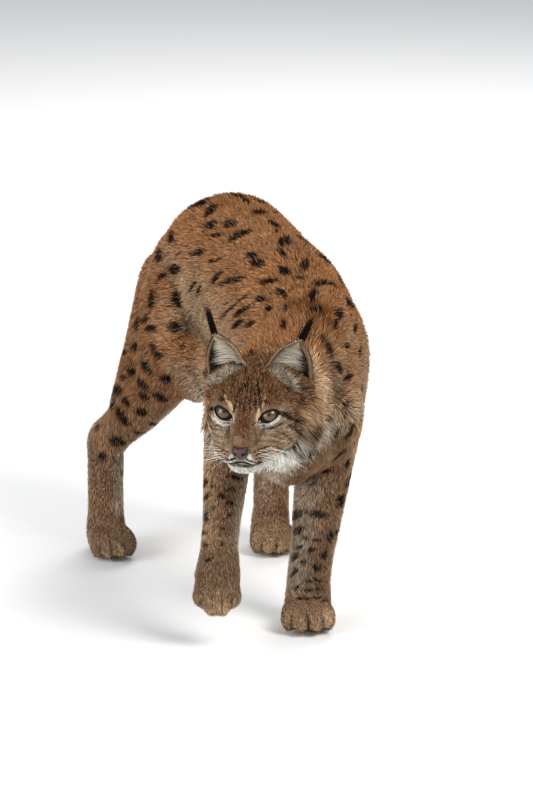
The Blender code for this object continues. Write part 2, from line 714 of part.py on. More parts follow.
def main():
    clear_scene()
    lynx = bpy.data.collections.new("lynx")
    bpy.context.scene.collection.children.link(lynx)
    body = fused("body", [torso, neck, limbs, paws, tail], BODY_VOXEL, 14, BODY_FACES, lynx)
    boolean(body, body_cuts(), "DIFFERENCE")
    split(body, SEEDS, lynx)
    head = make_head(lynx)
    for name, side in (("left", 1), ("right", -1)):
        mesh_object("eye_" + name, eyeball(side, EYE_RADIUS), lynx)
        shell = ear("ear_" + name, side, lynx)
        boolean(shell, [grown(head, GAP), grown(bpy.data.objects["neck"], GAP)], "DIFFERENCE")
        keep_largest(shell)
    nose = mesh_object("nose", nose_leather(0), lynx)
    boolean(nose, nostrils(), "DIFFERENCE")
    for obj in lynx.objects:
        colour = NODE_COLOURS.get(obj.name, COAT)
        finish(obj, colour, 0.15 if obj.name.startswith("eye") else 0.85)
    return to_bottom_centre(lynx)


OFFSET = main()
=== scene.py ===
# %% [markdown]
# # A Eurasian lynx, life size
# The lynx walks with its head low and one forepaw lifted. Its solids are ready: they give the size and
# the outline out to the tips of the coat. This lesson dresses them. It makes one skin that lies inside
# the solids, grows the coat on it tuft by tuft, and then gives the head its eyes, lids, nose, lips, ears
# and whiskers.

import math

import bmesh
import bpy
import numpy as np
from mathutils import Euler, Matrix, Vector
from mathutils.bvhtree import BVHTree
from mathutils.kdtree import KDTree
from mathutils.noise import noise


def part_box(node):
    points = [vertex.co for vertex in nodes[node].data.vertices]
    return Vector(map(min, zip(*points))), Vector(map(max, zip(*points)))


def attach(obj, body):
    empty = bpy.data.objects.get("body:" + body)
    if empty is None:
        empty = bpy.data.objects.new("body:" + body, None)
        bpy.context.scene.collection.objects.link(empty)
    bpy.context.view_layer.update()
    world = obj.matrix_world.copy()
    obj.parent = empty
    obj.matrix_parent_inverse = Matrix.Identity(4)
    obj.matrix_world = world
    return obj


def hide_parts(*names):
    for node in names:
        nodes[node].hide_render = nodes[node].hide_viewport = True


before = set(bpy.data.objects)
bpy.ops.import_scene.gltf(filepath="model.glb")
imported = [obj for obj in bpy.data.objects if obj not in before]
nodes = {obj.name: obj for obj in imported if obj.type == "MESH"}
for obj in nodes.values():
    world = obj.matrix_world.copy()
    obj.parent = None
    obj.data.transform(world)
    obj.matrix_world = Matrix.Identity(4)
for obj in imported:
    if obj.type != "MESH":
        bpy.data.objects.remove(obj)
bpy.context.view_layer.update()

# %% [markdown]
# ## The head's own frame
# Most of what this script adds is on the head, which is turned to the lynx's right and nods a little. So
# the places there are given forward, to the left and upwards from midway between the eyes. The two eye
# nodes say where that is.

# %% A frame on the head
HEAD_TURN, HEAD_NOD = -15, 5  # degrees
EYE_SPLAY, EYE_PITCH = 6, 8  # how far each eye looks outwards and upwards, in degrees
BULGE = 0.0010  # how far the front of each eye stands out of its ball
EYE_RADIUS = 0.0162
EYE_SPREAD = 0.0355
SIDES = {-1: "right", 1: "left"}


def flat_turn(degrees):
    """The turn about the upright by this many degrees."""
    return Matrix.Rotation(math.radians(degrees), 3, "Z")


HEAD = flat_turn(HEAD_TURN) @ Euler((math.radians(HEAD_NOD), 0, 0)).to_matrix()
AHEAD = HEAD @ Vector((0, -1, 0))
eye_boxes = [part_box("eye_left"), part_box("eye_right")]
EYES = sum((low + high for low, high in eye_boxes), Vector()) / 4 - AHEAD * BULGE / 2


def on_head(forward, left, up):
    """A place on the head, in metres from midway between the eyes."""
    return EYES + HEAD @ Vector((left, -forward, up))


def eye_frame(side):
    """An eye's centre, and the turn whose -Y looks out of it."""
    outward = flat_turn(side * EYE_SPLAY) @ Euler((math.radians(-EYE_PITCH), 0, 0)).to_matrix()
    return on_head(0, side * EYE_SPREAD, 0), HEAD @ outward


print("midway between the eyes", [round(c, 4) for c in EYES])

# %% [markdown]
# ## Camera, floor and light
# The picture was taken from a little above with a long lens, so near and far legs are almost the same
# size. One metre at the lynx's middle is 620 pixels of a picture 800 pixels tall. The lens follows from
# that and from the distance. The light is that of a studio: large soft lamps, the warmer one from the
# right.

# %% Camera, floor and lamps
PICTURE = (533, 800)
METRE = 620  # in pixels, at the lynx's middle
DISTANCE = 11.0
FOCUS = METRE * DISTANCE  # in pixels
SENSOR = 36
LOOK_DOWN = 15
LOOKED_AT = Vector((0.067, 0.0695, 0.314))
LAMPS_AIM = Vector((0, 0, 0.35))
FLOOR_REACH = 14

camera_data = bpy.data.cameras.new("camera")
camera_data.sensor_width = SENSOR
camera_data.lens = FOCUS * SENSOR / PICTURE[1]
camera = bpy.data.objects.new("camera", camera_data)
bpy.context.scene.collection.objects.link(camera)
down = math.radians(LOOK_DOWN)
camera.location = LOOKED_AT + Vector((0, -math.cos(down), math.sin(down))) * DISTANCE
camera.rotation_euler = (math.radians(90 - LOOK_DOWN), 0, 0)
camera_data.clip_end = 60
bpy.context.scene.camera = camera
CAMERA_TURN = Euler(camera.rotation_euler).to_matrix()


def lamp(name, place, size, power, tint):
    """A square soft lamp that shines on the lynx's middle."""
    light = bpy.data.lights.new(name, "AREA")
    light.shape = "SQUARE"
    light.size = size
    light.energy = power
    light.color = tint
    obj = bpy.data.objects.new(name, light)
    obj.location = place
    obj.rotation_euler = (LAMPS_AIM - Vector(place)).to_track_quat("-Z", "Y").to_euler()
    bpy.context.scene.collection.objects.link(obj)


lamp("key", (2.4, -2.4, 3.2), 1.8, 170, (1.0, 0.97, 0.93))
lamp("fill", (-3.2, -1.8, 1.2), 2.8, 160, (0.98, 0.99, 1.0))
lamp("back", (0.6, 3.2, 2.6), 2.2, 90, (1.0, 0.98, 0.95))

world = bpy.data.worlds.new("studio")
world.use_nodes = True
world.node_tree.nodes["Background"].inputs["Color"].default_value = (0.93, 0.96, 1.0, 1)
world.node_tree.nodes["Background"].inputs["Strength"].default_value = 0.55
bpy.context.scene.world = world
bpy.context.scene.view_settings.view_transform = "Standard"


def new_object(name, mesh):
    obj = bpy.data.objects.new(name, mesh)
    bpy.context.scene.collection.objects.link(obj)
    return obj


def from_bmesh(name, bm):
    """The bmesh as a new object; the bmesh is freed."""
    mesh = bpy.data.meshes.new(name)
    bm.to_mesh(mesh)
    bm.free()
    return new_object(name, mesh)


plane = bmesh.new()
bmesh.ops.create_grid(plane, x_segments=1, y_segments=1, size=FLOOR_REACH)
floor = from_bmesh("floor", plane)
print("camera at", [round(c, 3) for c in camera.location], "lens", round(camera_data.lens, 1), "mm")

# %% [markdown]
# ## The masses of the head
# A lynx has a round skull, broad cheeks, a short muzzle with full whisker pads and a strong chin. Each
# mass is the closed hull of a few ellipsoids, the way a sculptor blocks out a head, and a remesh then
# fuses them.

# %% Hulls of ellipsoids
LID = 0.0022  # how far the lids' skin stands over the eyeball


def ball(bm, centre, radii, turn=None, detail=3):
    """Adds an ellipsoid: radii are across, along and up in the frame that turn gives."""
    made = bmesh.ops.create_icosphere(bm, subdivisions=detail, radius=1.0)["verts"]
    size = Matrix.Diagonal(radii if isinstance(radii, tuple) else (radii,) * 3)
    matrix = (turn or Matrix.Identity(3)) @ size
    for vert in made:
        vert.co = matrix @ vert.co + centre
    return made


def convex(bm):
    """Leaves in bm only the closed hull of its points."""
    made = bmesh.ops.convex_hull(bm, input=bm.verts[:])
    spare = {v for v in made["geom_interior"] + made["geom_unused"] if isinstance(v, bmesh.types.BMVert)}
    bmesh.ops.delete(bm, geom=list(spare), context="VERTS")
    return bm


def add_mesh(target, bm):
    """Adds the bmesh bm to the bmesh target, and frees bm."""
    mesh = bpy.data.meshes.new("part")
    bm.to_mesh(mesh)
    bm.free()
    target.from_mesh(mesh)
    bpy.data.meshes.remove(mesh)


def head_hull(target, stations):
    """Adds the hulls of each two ellipsoids that follow each other; a station is (place, radii)."""
    for first, second in list(zip(stations, stations[1:])) or [(stations[0], stations[0])]:
        bm = bmesh.new()
        for (forward, left, up), radii in (first, second):
            ball(bm, on_head(forward, left, up), radii, HEAD)
        add_mesh(target, convex(bm))


# forward, left and up of each ellipsoid's centre, and its radii; in each list, one mass
MASSES = [
    [((-0.115, 0.002, -0.012), (0.074, 0.040, 0.078)), ((-0.075, 0, -0.006), (0.068, 0.040, 0.066))],
    [((-0.075, 0, 0.002), (0.068, 0.068, 0.063)), ((-0.036, 0, 0.007), (0.060, 0.040, 0.047)),
     ((-0.012, 0, 0.001), (0.045, 0.026, 0.034))],
    [((-0.006, 0, -0.003), (0.029, 0.022, 0.028)), ((0.016, 0, -0.024), (0.024, 0.021, 0.020)),
     ((0.040, 0, -0.0405), (0.0175, 0.0130, 0.0130))],
    [((-0.040, 0, -0.052), (0.054, 0.040, 0.032)), ((0.002, 0, -0.062), (0.038, 0.030, 0.024)),
     ((0.027, 0, -0.0735), (0.0270, 0.0175, 0.0150))],
]
SIDE_MASSES = [
    [((-0.058, 0.047, -0.028), (0.035, 0.046, 0.044)), ((-0.018, 0.034, -0.037), (0.031, 0.030, 0.032)),
     ((0.012, 0.0300, -0.050), (0.0220, 0.0240, 0.0215)),
     ((0.033, 0.0205, -0.0540), (0.0210, 0.0190, 0.0165))],
    [((-0.012, 0.041, -0.016), (0.020, 0.020, 0.018)), ((-0.055, 0.056, -0.006), (0.020, 0.035, 0.032))],
    [((-0.002, 0.034, 0.013), (0.018, 0.012, 0.009)), ((-0.046, 0.042, 0.008), (0.020, 0.030, 0.030))],
    [((-0.064, 0.038, 0.040), (0.022, 0.022, 0.020)), ((-0.074, 0.064, 0.014), (0.024, 0.028, 0.030)),
     ((-0.072, 0.062, -0.022), (0.020, 0.030, 0.032))],
    [((0, EYE_SPREAD, 0), (EYE_RADIUS + LID,) * 3)],
]
head_masses = bmesh.new()
for stations in MASSES:
    head_hull(head_masses, stations)
for side in SIDES:
    for stations in SIDE_MASSES:
        mirrored = [((forward, side * left, up), radii) for (forward, left, up), radii in stations]
        head_hull(head_masses, mirrored)
print("the head's masses have", len(head_masses.faces), "faces")

# %% [markdown]
# ## One skin
# The solids are parted by thin cuts, and the skin mustn't show them. So a closed copy of each fleshy
# solid is grown by a fraction of a millimetre, until the copies overlap, and a voxel remesh fuses them.
# Smoothing takes away the steps, and a decimation keeps more faces where the form bends. The head is
# remeshed finer than the body, and the two are joined later.

# %% Fuse the body and the head
LIMBS = ["foreleg", "forepaw", "hind_leg", "hind_paw"]
FLESH = ["head", "neck", "torso", "tail"]
FLESH += [f"{limb}_{word}" for limb in LIMBS for word in ("left", "right")]
OVERLAP = 0.0006
BODY_FUSE = (0.0024, 12, 84000)  # the size of a voxel, rounds of smoothing, and faces to keep
HEAD_FUSE = (0.0014, 7, 78000)


def apply_modifiers(obj):
    graph = bpy.context.evaluated_depsgraph_get()
    mesh = bpy.data.meshes.new_from_object(obj.evaluated_get(graph))
    obj.modifiers.clear()
    obj.data = mesh


def fused(obj, voxel, rounds, triangles):
    """Fuses the overlapping closed parts of obj into one skin of about so many triangles."""
    remesh = obj.modifiers.new("fuse", "REMESH")
    remesh.mode = "VOXEL"
    remesh.voxel_size = voxel
    smooth = obj.modifiers.new("smooth", "SMOOTH")
    smooth.iterations = rounds
    apply_modifiers(obj)
    thin = obj.modifiers.new("thin", "DECIMATE")
    thin.ratio = min(1.0, triangles / (2 * len(obj.data.polygons)))
    apply_modifiers(obj)
    return obj


body_parts = bmesh.new()
for name in FLESH[1:]:
    copy = bmesh.new()
    copy.from_mesh(nodes[name].data)
    bmesh.ops.remove_doubles(copy, verts=copy.verts, dist=1e-6)
    copy.normal_update()
    moves = [vert.normal * OVERLAP for vert in copy.verts]
    for vert, move in zip(copy.verts, moves):
        vert.co += move
    add_mesh(body_parts, copy)
skin = fused(from_bmesh("skin", body_parts), *BODY_FUSE)
head_skin = fused(from_bmesh("head_skin", head_masses), *HEAD_FUSE)
print("body", len(skin.data.polygons), "faces, head", len(head_skin.data.polygons))

# %% [markdown]
# ## As deep as the coat is thick
# The solids end at the tips of the fur, so the skin lies deeper: by almost a centimetre on the rump and
# the neck, half of that on the legs, and only a millimetre or two on the muzzle. Each point of the skin
# moves inwards by the coat's depth there. First every point learns which solid it belongs to, from the
# nearest point of the solids.

# %% The coat's depth, length, width and number for each part
COAT = {
    # metres: depth, length and width of a tuft, and then tufts to a square centimetre
    "head": (0.0060, 0.0130, 0.0013, 34),
    "neck": (0.0085, 0.0220, 0.0016, 23),
    "torso": (0.0075, 0.0170, 0.0015, 24),
    "tail": (0.0080, 0.0200, 0.0016, 23),
    "foreleg": (0.0052, 0.0120, 0.0013, 30),
    "forepaw": (0.0038, 0.0090, 0.0012, 36),
    "hind_leg": (0.0068, 0.0145, 0.0014, 27),
    "hind_paw": (0.0038, 0.0090, 0.0012, 36),
}
MUZZLE = (0.0012, 0.0042, 0.0008, 80)  # the same at the muzzle
LIDS = (0.0006, 0.0030, 0.0007, 95)  # on the lids
CHIN = (0.0030, 0.0085, 0.0009, 60)  # on the chin
SHANK = (0.0048, 0.0115, 0.0013, 31)  # and on the lower legs
LEGS = [number for number, name in enumerate(FLESH) if "leg_" in name]


def sideless(name):
    """The name of a solid without its side."""
    return name.removesuffix("_left").removesuffix("_right")


place_tree = KDTree(sum(len(nodes[name].data.vertices) for name in FLESH))
labels = []
for number, name in enumerate(FLESH):
    for vert in nodes[name].data.vertices:
        place_tree.insert(vert.co, len(labels))
        labels.append(number)
place_tree.balance()


def part_of(places):
    """The number, in FLESH, of the solid that each place is nearest to."""
    return np.array([labels[place_tree.find(place)[1]] for place in places])


def soft_step(low, high, values):
    """0 below low, 1 above high, and a smooth rise between; low may be above high."""
    share = np.clip((values - low) / (high - low), 0, 1)
    return share * share * (3 - 2 * share)


def head_places(places):
    """Columns forward, left and up from midway between the eyes."""
    turned = (places - np.array(EYES)) @ np.array(HEAD)
    return np.stack([-turned[:, 1], turned[:, 0], turned[:, 2]], 1)


def coat_table(places, weights):
    """For each place: depth, length, width and number of tufts, blended by its share in each part."""
    table = weights @ np.array([COAT[sideless(name)] for name in FLESH])
    forward, left, up = head_places(places).T
    snout = soft_step(-0.062, 0.030, forward) ** 0.8 * weights[:, 0]
    low_leg = soft_step(0.24, 0.14, places[:, 2]) * weights[:, LEGS].sum(1)
    chin = soft_step(-0.070, -0.080, up) * soft_step(-0.040, 0.0, forward) * weights[:, 0]
    rows = [(snout, MUZZLE), (chin, CHIN), (low_leg, SHANK)]
    for side in SIDES:
        from_eye = np.linalg.norm(places - np.array(eye_frame(side)[0]), axis=1)
        rows.append((soft_step(0.030, 0.021, from_eye), LIDS))
    for share, row in rows:
        table += share[:, None] * (np.array(row) - table)
    return table


class Mesh:
    """The numbers of a mesh: places, normals, triangles, and neighbours along its edges."""

    def __init__(self, mesh):
        self.count = len(mesh.vertices)
        self.places = self.read(mesh.vertices, "co", 3)
        self.normals = self.read(mesh.vertex_normals, "vector", 3)
        mesh.calc_loop_triangles()
        self.triangles = self.read(mesh.loop_triangles, "vertices", 3, np.int32)
        self.corners = self.read(mesh.loop_triangles, "loops", 3, np.int32)
        edges = self.read(mesh.edges, "vertices", 2, np.int32)
        self.ends = np.concatenate([edges, edges[:, ::-1]])
        self.degree = np.maximum(1, np.bincount(self.ends[:, 0], minlength=self.count))[:, None]

    @staticmethod
    def read(items, name, width, kind=np.float32):
        values = np.empty(len(items) * width, kind)
        items.foreach_get(name, values)
        return values.reshape(-1, width) if kind is np.int32 else values.reshape(-1, width).astype(float)

    def spread(self, values, rounds):
        """Evens values out with their neighbours, so many times."""
        start, end = self.ends.T
        for _ in range(rounds):
            sums = [np.bincount(start, column[end], self.count) for column in values.T]
            values = 0.5 * values + 0.5 * np.stack(sums, 1) / self.degree
        return values

    def shares(self, rounds):
        """How much of each part every point has, softened across the seams."""
        parts = part_of(self.places)
        return self.spread(np.eye(len(FLESH))[parts], rounds)


def sink(obj, shares):
    """Moves obj's surface in by the coat's depth, but leaves the soles on the floor."""
    data = Mesh(obj.data)
    depth = data.spread(coat_table(data.places, shares(data))[:, :1], 12)
    depth *= soft_step(0.001, 0.010, data.places[:, 2:])
    places = data.places - data.normals * depth
    places[:, 2] = np.maximum(places[:, 2], 0)
    obj.data.vertices.foreach_set("co", places.ravel())
    obj.data.update()
    return depth


def soften(obj, names, rounds):
    """Evens out the surface of these parts; each second step swells it, so that it doesn't shrink."""
    data = Mesh(obj.data)
    share = data.shares(20)[:, [FLESH.index(name) for name in names]].sum(1)[:, None] ** 2
    places = data.places
    for step in range(2 * rounds):
        pull = -1.03 if step % 2 else 1.0
        places = places + (data.spread(places, 1) - places) * share * pull
    obj.data.vertices.foreach_set("co", places.ravel())
    obj.data.update()
    print("softened by up to", round(float(np.linalg.norm(places - data.places, axis=1).max()), 4))


soften(skin, ["torso", "neck"], 120)
deep = sink(skin, lambda data: data.shares(8))
on_the_head = np.eye(len(FLESH))[:1]
shallow = sink(head_skin, lambda data: np.repeat(on_the_head, data.count, 0))
print("depth of the coat", round(float(deep.max()), 4), "to", round(float(shallow.min()), 4))

# %% [markdown]
# ## Sockets, lids, mouth and nose
# The eyeballs need sockets, and the lids leave an almond open before each. The mouth is a thin slit that
# runs from one corner of the lips round to the other, and the bare nose sits in a pocket. They are cut
# with Booleans. The MANIFOLD solver is quick on a skin of this size, and it needs closed meshes.

# %% Join the head to the body and cut the face's openings
EYE_OPENING = (0.0156, 0.0084)  # half the width and height of the gap between the lids
EYE_SLANT = 27
UPPER_LID = 0.90  # the height of the opening's upper half next to the lower
ROUNDNESS = 1.08  # above 1 the corners of the gap draw out to points
EYE_GAP = 0.0002
MOUTH_GAP = 0.0012


def volume_of(obj):
    bm = bmesh.new()
    bm.from_mesh(obj.data)
    volume = bm.calc_volume(signed=True)
    bm.free()
    return volume


def boolean(obj, other, operation):
    """Joins or cuts obj with other, which is then removed."""
    before = volume_of(obj)
    modifier = obj.modifiers.new("boolean", "BOOLEAN")
    modifier.operation = operation
    modifier.solver = "MANIFOLD"
    modifier.object = other
    apply_modifiers(obj)
    bpy.data.objects.remove(other)
    print(operation.lower(), "changed the volume by", round((volume_of(obj) - before) * 1e6, 3), "ml")


def almond(side, share):
    """A place on the opening between the lids, share of the way round it, in front of the eye's centre."""
    centre, turn = eye_frame(side)
    slant = Euler((0, math.radians(-side * EYE_SLANT), 0)).to_matrix()
    angle = share * 2 * math.pi
    rise = math.sin(angle)
    up = math.copysign(abs(rise) ** ROUNDNESS, rise) * EYE_OPENING[1]
    up *= UPPER_LID if rise > 0 else 1.0
    return centre, turn @ slant, Vector((math.cos(angle) * EYE_OPENING[0], 0, up))


def eye_opening(side):
    bm = bmesh.new()
    bmesh.ops.create_cone(bm, cap_ends=True, segments=40, radius1=1, radius2=1, depth=0.022)
    for vert in bm.verts:
        centre, turn, place = almond(side, math.atan2(vert.co.y, vert.co.x) / (2 * math.pi))
        place.y = -0.014 - vert.co.z
        vert.co = centre + turn @ place
    return from_bmesh("opening", bm)


def mouth_place(t, depth):
    """A place on the slit of the mouth: t from -1 to 1 along the lips, depth from -1, inside, to 1."""
    reach = 1.0 + 0.18 * depth
    forward = -0.004 + (0.060 - 0.046 * abs(t) ** 1.7) * reach
    left = 0.0460 * math.sin(t * math.pi / 2) * reach
    up = -0.0670 - 0.0030 * math.sin(min(1.0, abs(t) * 1.6) * math.pi / 2) + 0.006 * abs(t) ** 4
    return on_head(forward, left, up)


def mouth_slit():
    bm = bmesh.new()
    bmesh.ops.create_grid(bm, x_segments=36, y_segments=1, size=1)
    for vert in bm.verts:
        vert.co = mouth_place(vert.co.x, vert.co.y)
    bmesh.ops.solidify(bm, geom=bm.faces[:], thickness=MOUTH_GAP)
    bmesh.ops.recalc_face_normals(bm, faces=bm.faces)
    return from_bmesh("slit", bm)


NOSE_BALLS = [
    ((0.0480, 0.0092, -0.0400), 0.0036), ((0.0480, -0.0092, -0.0400), 0.0036),
    ((0.0540, 0.0030, -0.0440), 0.0045), ((0.0540, -0.0030, -0.0440), 0.0045),
    ((0.0505, 0.0086, -0.0480), 0.0036), ((0.0505, -0.0086, -0.0480), 0.0036),
    ((0.0505, 0.0000, -0.0550), 0.0030), ((0.0400, 0.0000, -0.0455), 0.0070),
]


def nose_block(grow, voxel, triangles):
    """The nose's block, grown or shrunk, and fused into one surface."""
    block = bmesh.new()
    for place, radius in NOSE_BALLS:
        ball(block, on_head(*place), radius + grow, HEAD)
    return fused(from_bmesh("nose_block", convex(block)), voxel, 3, triangles)


def plain_ball(centre, radius):
    bm = bmesh.new()
    ball(bm, centre, radius, detail=5)
    return from_bmesh("ball", bm)


boolean(skin, head_skin, "UNION")
boolean(skin, nose_block(-0.0004, 0.0007, 3000), "DIFFERENCE")
for side in SIDES:
    boolean(skin, plain_ball(eye_frame(side)[0], EYE_RADIUS + EYE_GAP), "DIFFERENCE")
    boolean(skin, eye_opening(side), "DIFFERENCE")
boolean(skin, mouth_slit(), "DIFFERENCE")

# %% [markdown]
# ## An unwrap of the skin
# Each tuft takes its place on the texture from the spot of skin that it grows on, so the skin needs a
# flat map of its own shape. Smart Project cuts it into charts by the way its faces look.

# %% Triangulate, unwrap and read the skin
MAP = "OFBake"
tidy = bmesh.new()
tidy.from_mesh(skin.data)
bmesh.ops.triangulate(tidy, faces=tidy.faces)
tidy.to_mesh(skin.data)
tidy.free()
skin.data.uv_layers.new(name=MAP)
bpy.context.view_layer.objects.active = skin
skin.select_set(True)
bpy.ops.object.mode_set(mode="EDIT")
bpy.ops.mesh.select_all(action="SELECT")
bpy.ops.uv.smart_project(angle_limit=1.15, island_margin=0.003, scale_to_bounds=True)
bpy.ops.object.mode_set(mode="OBJECT")
skin.select_set(False)

shell = Mesh(skin.data)
map_corners = Mesh.read(skin.data.uv_layers[MAP].data, "uv", 2)
shares = shell.shares(14)
main_part = shares.argmax(1)
skin_tree = BVHTree.FromPolygons(shell.places.tolist(), shell.triangles.tolist())
sides = shell.places[shell.triangles]
areas = np.linalg.norm(np.cross(sides[:, 1] - sides[:, 0], sides[:, 2] - sides[:, 0]), axis=1) / 2
print("skin:", len(shell.triangles), "triangles,", round(float(areas.sum()), 3), "square metres")

# %% [markdown]
# ## The lie of the coat
# Hair grows from the nose backwards, along the back to the tail, down the sides and down the legs. Each
# part gets such a direction, which is laid into the skin's surface and evened out, so that it turns
# gently where the parts meet. Round the eyes it points away from the lids.

# %% A direction for the hair at every point of the skin
UP = np.array((0.0, 0.0, 1.0))
SPINE_Y = (-0.13, 0.05, 0.26)  # along the body, where the back heads as the next line says
SPINE_TURN = (8, 20, 24)


def unit(vectors):
    return vectors / np.maximum(1e-9, np.linalg.norm(vectors, axis=-1, keepdims=True))


def into_surface(vectors, normals):
    return unit(vectors - normals * (vectors * normals).sum(1, keepdims=True))


def hair_directions(places, normals, parts):
    spine = np.radians(np.interp(places[:, 1], SPINE_Y, SPINE_TURN))
    back = np.stack([-np.sin(spine), np.cos(spine), 0 * spine], 1)
    over = np.maximum(0, normals[:, 2:])
    ahead = np.array(flat_turn(6) @ Vector((0, -1, 0))) + 0 * back
    ways = {
        "torso": back - UP * 0.5,
        "neck": back + UP * (0.9 * over - 0.5),
        "tail": back * 0.25 - UP,
        "foreleg_left": back * 0.25 - UP,
        "foreleg_right": ahead * 0.35 - UP,
        "forepaw_left": ahead - UP * 0.5,
        "forepaw_right": ahead * 0.5 - UP,
        "hind_leg": back * 0.4 * soft_step(0.2, 0.4, places[:, 2:]) - UP,
        "hind_paw": ahead - UP * 0.5,
    }
    forward, left, up = head_places(places).T
    nose_tip = np.array(on_head(0.085, 0, -0.050))
    cheek = soft_step(0.02, 0.06, abs(left)) * soft_step(0.0, -0.05, forward)
    ways["head"] = unit(places - nose_tip) - UP * (0.55 * cheek[:, None])
    for side in SIDES:
        away = places - np.array(eye_frame(side)[0])
        near = soft_step(0.030, 0.017, np.linalg.norm(away, axis=1))[:, None]
        ways["head"] = ways["head"] * (1 - 0.8 * near) + into_surface(away, normals) * near
    lie = np.zeros_like(places)
    for number, name in enumerate(FLESH):
        way = ways[name if name in ways else sideless(name)]
        lie[parts == number] = way[parts == number]
    return into_surface(lie, normals)


lie = hair_directions(shell.places, shell.normals, main_part)
lie = into_surface(shell.spread(lie, 10), shell.normals)
print("the hair's lie is set at", len(lie), "points")

# %% [markdown]
# ## The colours of the coat
# A northern lynx is rufous brown along the back, greyer on the flanks, pale beneath and on the inner
# sides of the legs, and white at the throat. The colour of each point of the skin is mixed from these by
# the part that it is on and by the way it faces, and evened out like the lie. Creases get painted shade.

# %% Mix the ground colours


def paint(red, green, blue):
    """A colour as it looks on a screen, 0 to 255, as linear light."""
    share = np.array((red, green, blue)) / 255
    return np.where(share < 0.04045, share / 12.92, ((share + 0.055) / 1.055) ** 2.4)


RUFOUS = paint(160, 112, 74)
TAN = paint(176, 147, 117)
PALE = paint(206, 190, 168)
CHESTNUT = paint(146, 103, 71)
GREY_BROWN = paint(156, 122, 92)
ORANGE = paint(194, 136, 88)
BUFF = paint(186, 152, 118)
WHITE = paint(250, 246, 236)
CROWN = paint(106, 72, 47)
BRIDGE = paint(106, 71, 51)
CHEEK = paint(170, 146, 122)
DARK = paint(30, 19, 14)
BROWN = paint(84, 56, 40)
BLACK = paint(22, 19, 18)
SOOT = paint(52, 42, 37)
CREAM = paint(224, 190, 152)
EAR_PALE = paint(176, 166, 150)


def mixed(colours, other, share):
    """colours moved towards another by share, one number to each row."""
    return colours + (other - colours) * np.asarray(share)[..., None]


def ground_colours(places, normals, parts):
    names = np.array(FLESH)[parts]
    facing_up, facing_down = soft_step(-0.15, 0.65, normals[:, 2]), soft_step(-0.25, -0.75, normals[:, 2])
    trunk = np.isin(names, ["torso", "neck"])
    colours = np.where(trunk[:, None], mixed(mixed(TAN, RUFOUS, facing_up), PALE, facing_down), TAN)
    breast = trunk * soft_step(-0.14, -0.24, places[:, 1]) * soft_step(0.43, 0.35, places[:, 2])
    colours = mixed(colours, mixed(TAN, PALE, 0.75), breast)
    body_right = np.array(flat_turn(20) @ Vector((-1, 0, 0)))
    outward = (normals @ body_right) * np.where(np.char.endswith(names, "right"), 1, -1)
    behind = normals @ np.array(flat_turn(20) @ Vector((0, 1, 0)))
    hind = np.char.startswith(names, "hind")
    thigh = mixed(GREY_BROWN, CHESTNUT, soft_step(0.18, 0.34, places[:, 2]))
    pale = np.where(names == "hind_leg_right", 0.85, 0.35) + 0.4 * soft_step(0.22, 0.32, places[:, 2])
    thigh = mixed(thigh, PALE, soft_step(0.1, -0.6, outward) * pale.clip(0, 0.9))
    thigh = mixed(thigh, ORANGE, soft_step(0.45, 0.9, behind) * 0.8)
    colours = np.where(hind[:, None], thigh, colours)
    fore = np.char.startswith(names, "fore")
    arm = mixed(paint(138, 106, 79), BUFF, soft_step(0.2, 0.9, outward))
    arm = mixed(arm, PALE, soft_step(-0.1, -0.8, outward) * 0.6)
    colours = np.where(fore[:, None], arm, colours)
    feet = np.char.find(names, "paw") >= 0
    foot = mixed(paint(196, 164, 130), GREY_BROWN, 0.30 + 0.35 * facing_up)
    lifted = (names == "forepaw_right") * soft_step(0.05, 0.12, places[:, 2])
    foot = mixed(foot, paint(122, 93, 70), 0.75 * lifted)
    colours = np.where(feet[:, None], foot, colours)
    forward, left, up = head_places(places).T
    throat = soft_step(-0.062, -0.085, up) * soft_step(0.085, 0.045, abs(left))
    throat *= soft_step(-0.17, -0.12, forward) * trunk
    colours = mixed(colours, WHITE, throat * 0.9)
    tail = mixed(RUFOUS, BLACK, soft_step(0.415, 0.395, places[:, 2]))
    colours = np.where((names == "tail")[:, None], tail, colours)
    return np.where((names == "head")[:, None], face_colours(places), colours)


def face_colours(places):
    """Dark crown, rufous bridge, grey-buff cheeks, pale pads, white lips, chin and throat."""
    forward, left, up = head_places(places).T
    beside = abs(left)
    behind = soft_step(0.044, 0.062, beside) * soft_step(-0.045, -0.018, up)
    colours = mixed(CHEEK, paint(108, 76, 51), behind * soft_step(-0.006, -0.030, forward))
    colours = mixed(colours, CROWN, soft_step(0.004, 0.020, up))
    bridge = soft_step(0.027, 0.006, beside) * soft_step(-0.056, -0.036, up)
    bridge *= soft_step(-0.03, 0.0, forward)
    colours = mixed(colours, BRIDGE, bridge)
    colours = mixed(colours, paint(150, 118, 98), bridge * soft_step(-0.020, -0.034, up) * 0.55)
    pads = soft_step(-0.043, -0.052, up) * soft_step(-0.005, 0.020, forward)
    colours = mixed(colours, paint(166, 136, 107), pads)
    lip = soft_step(-0.057, -0.062, up) * soft_step(-0.02, 0.010, forward)
    colours = mixed(colours, WHITE, lip)
    throat = soft_step(-0.050, -0.072, up)
    return mixed(colours, WHITE, throat * 0.9)


WAVE = 0.0068  # from one line on the cheeks to the next


def cheek_waves(places):
    """Thin wavy lines, 0 to 1, that run across the cheeks."""
    forward, left, up = head_places(places).T
    drift = np.array([noise(Vector(place) * 38) for place in places])
    waves = np.sin(up * 2 * math.pi / WAVE + 5.5 * drift + abs(left) * 40)
    where = soft_step(0.018, 0.030, abs(left)) * soft_step(0.002, -0.010, up)
    where *= soft_step(-0.066, -0.055, up) * soft_step(-0.085, -0.060, forward)
    return soft_step(0.25, 0.85, waves) * where
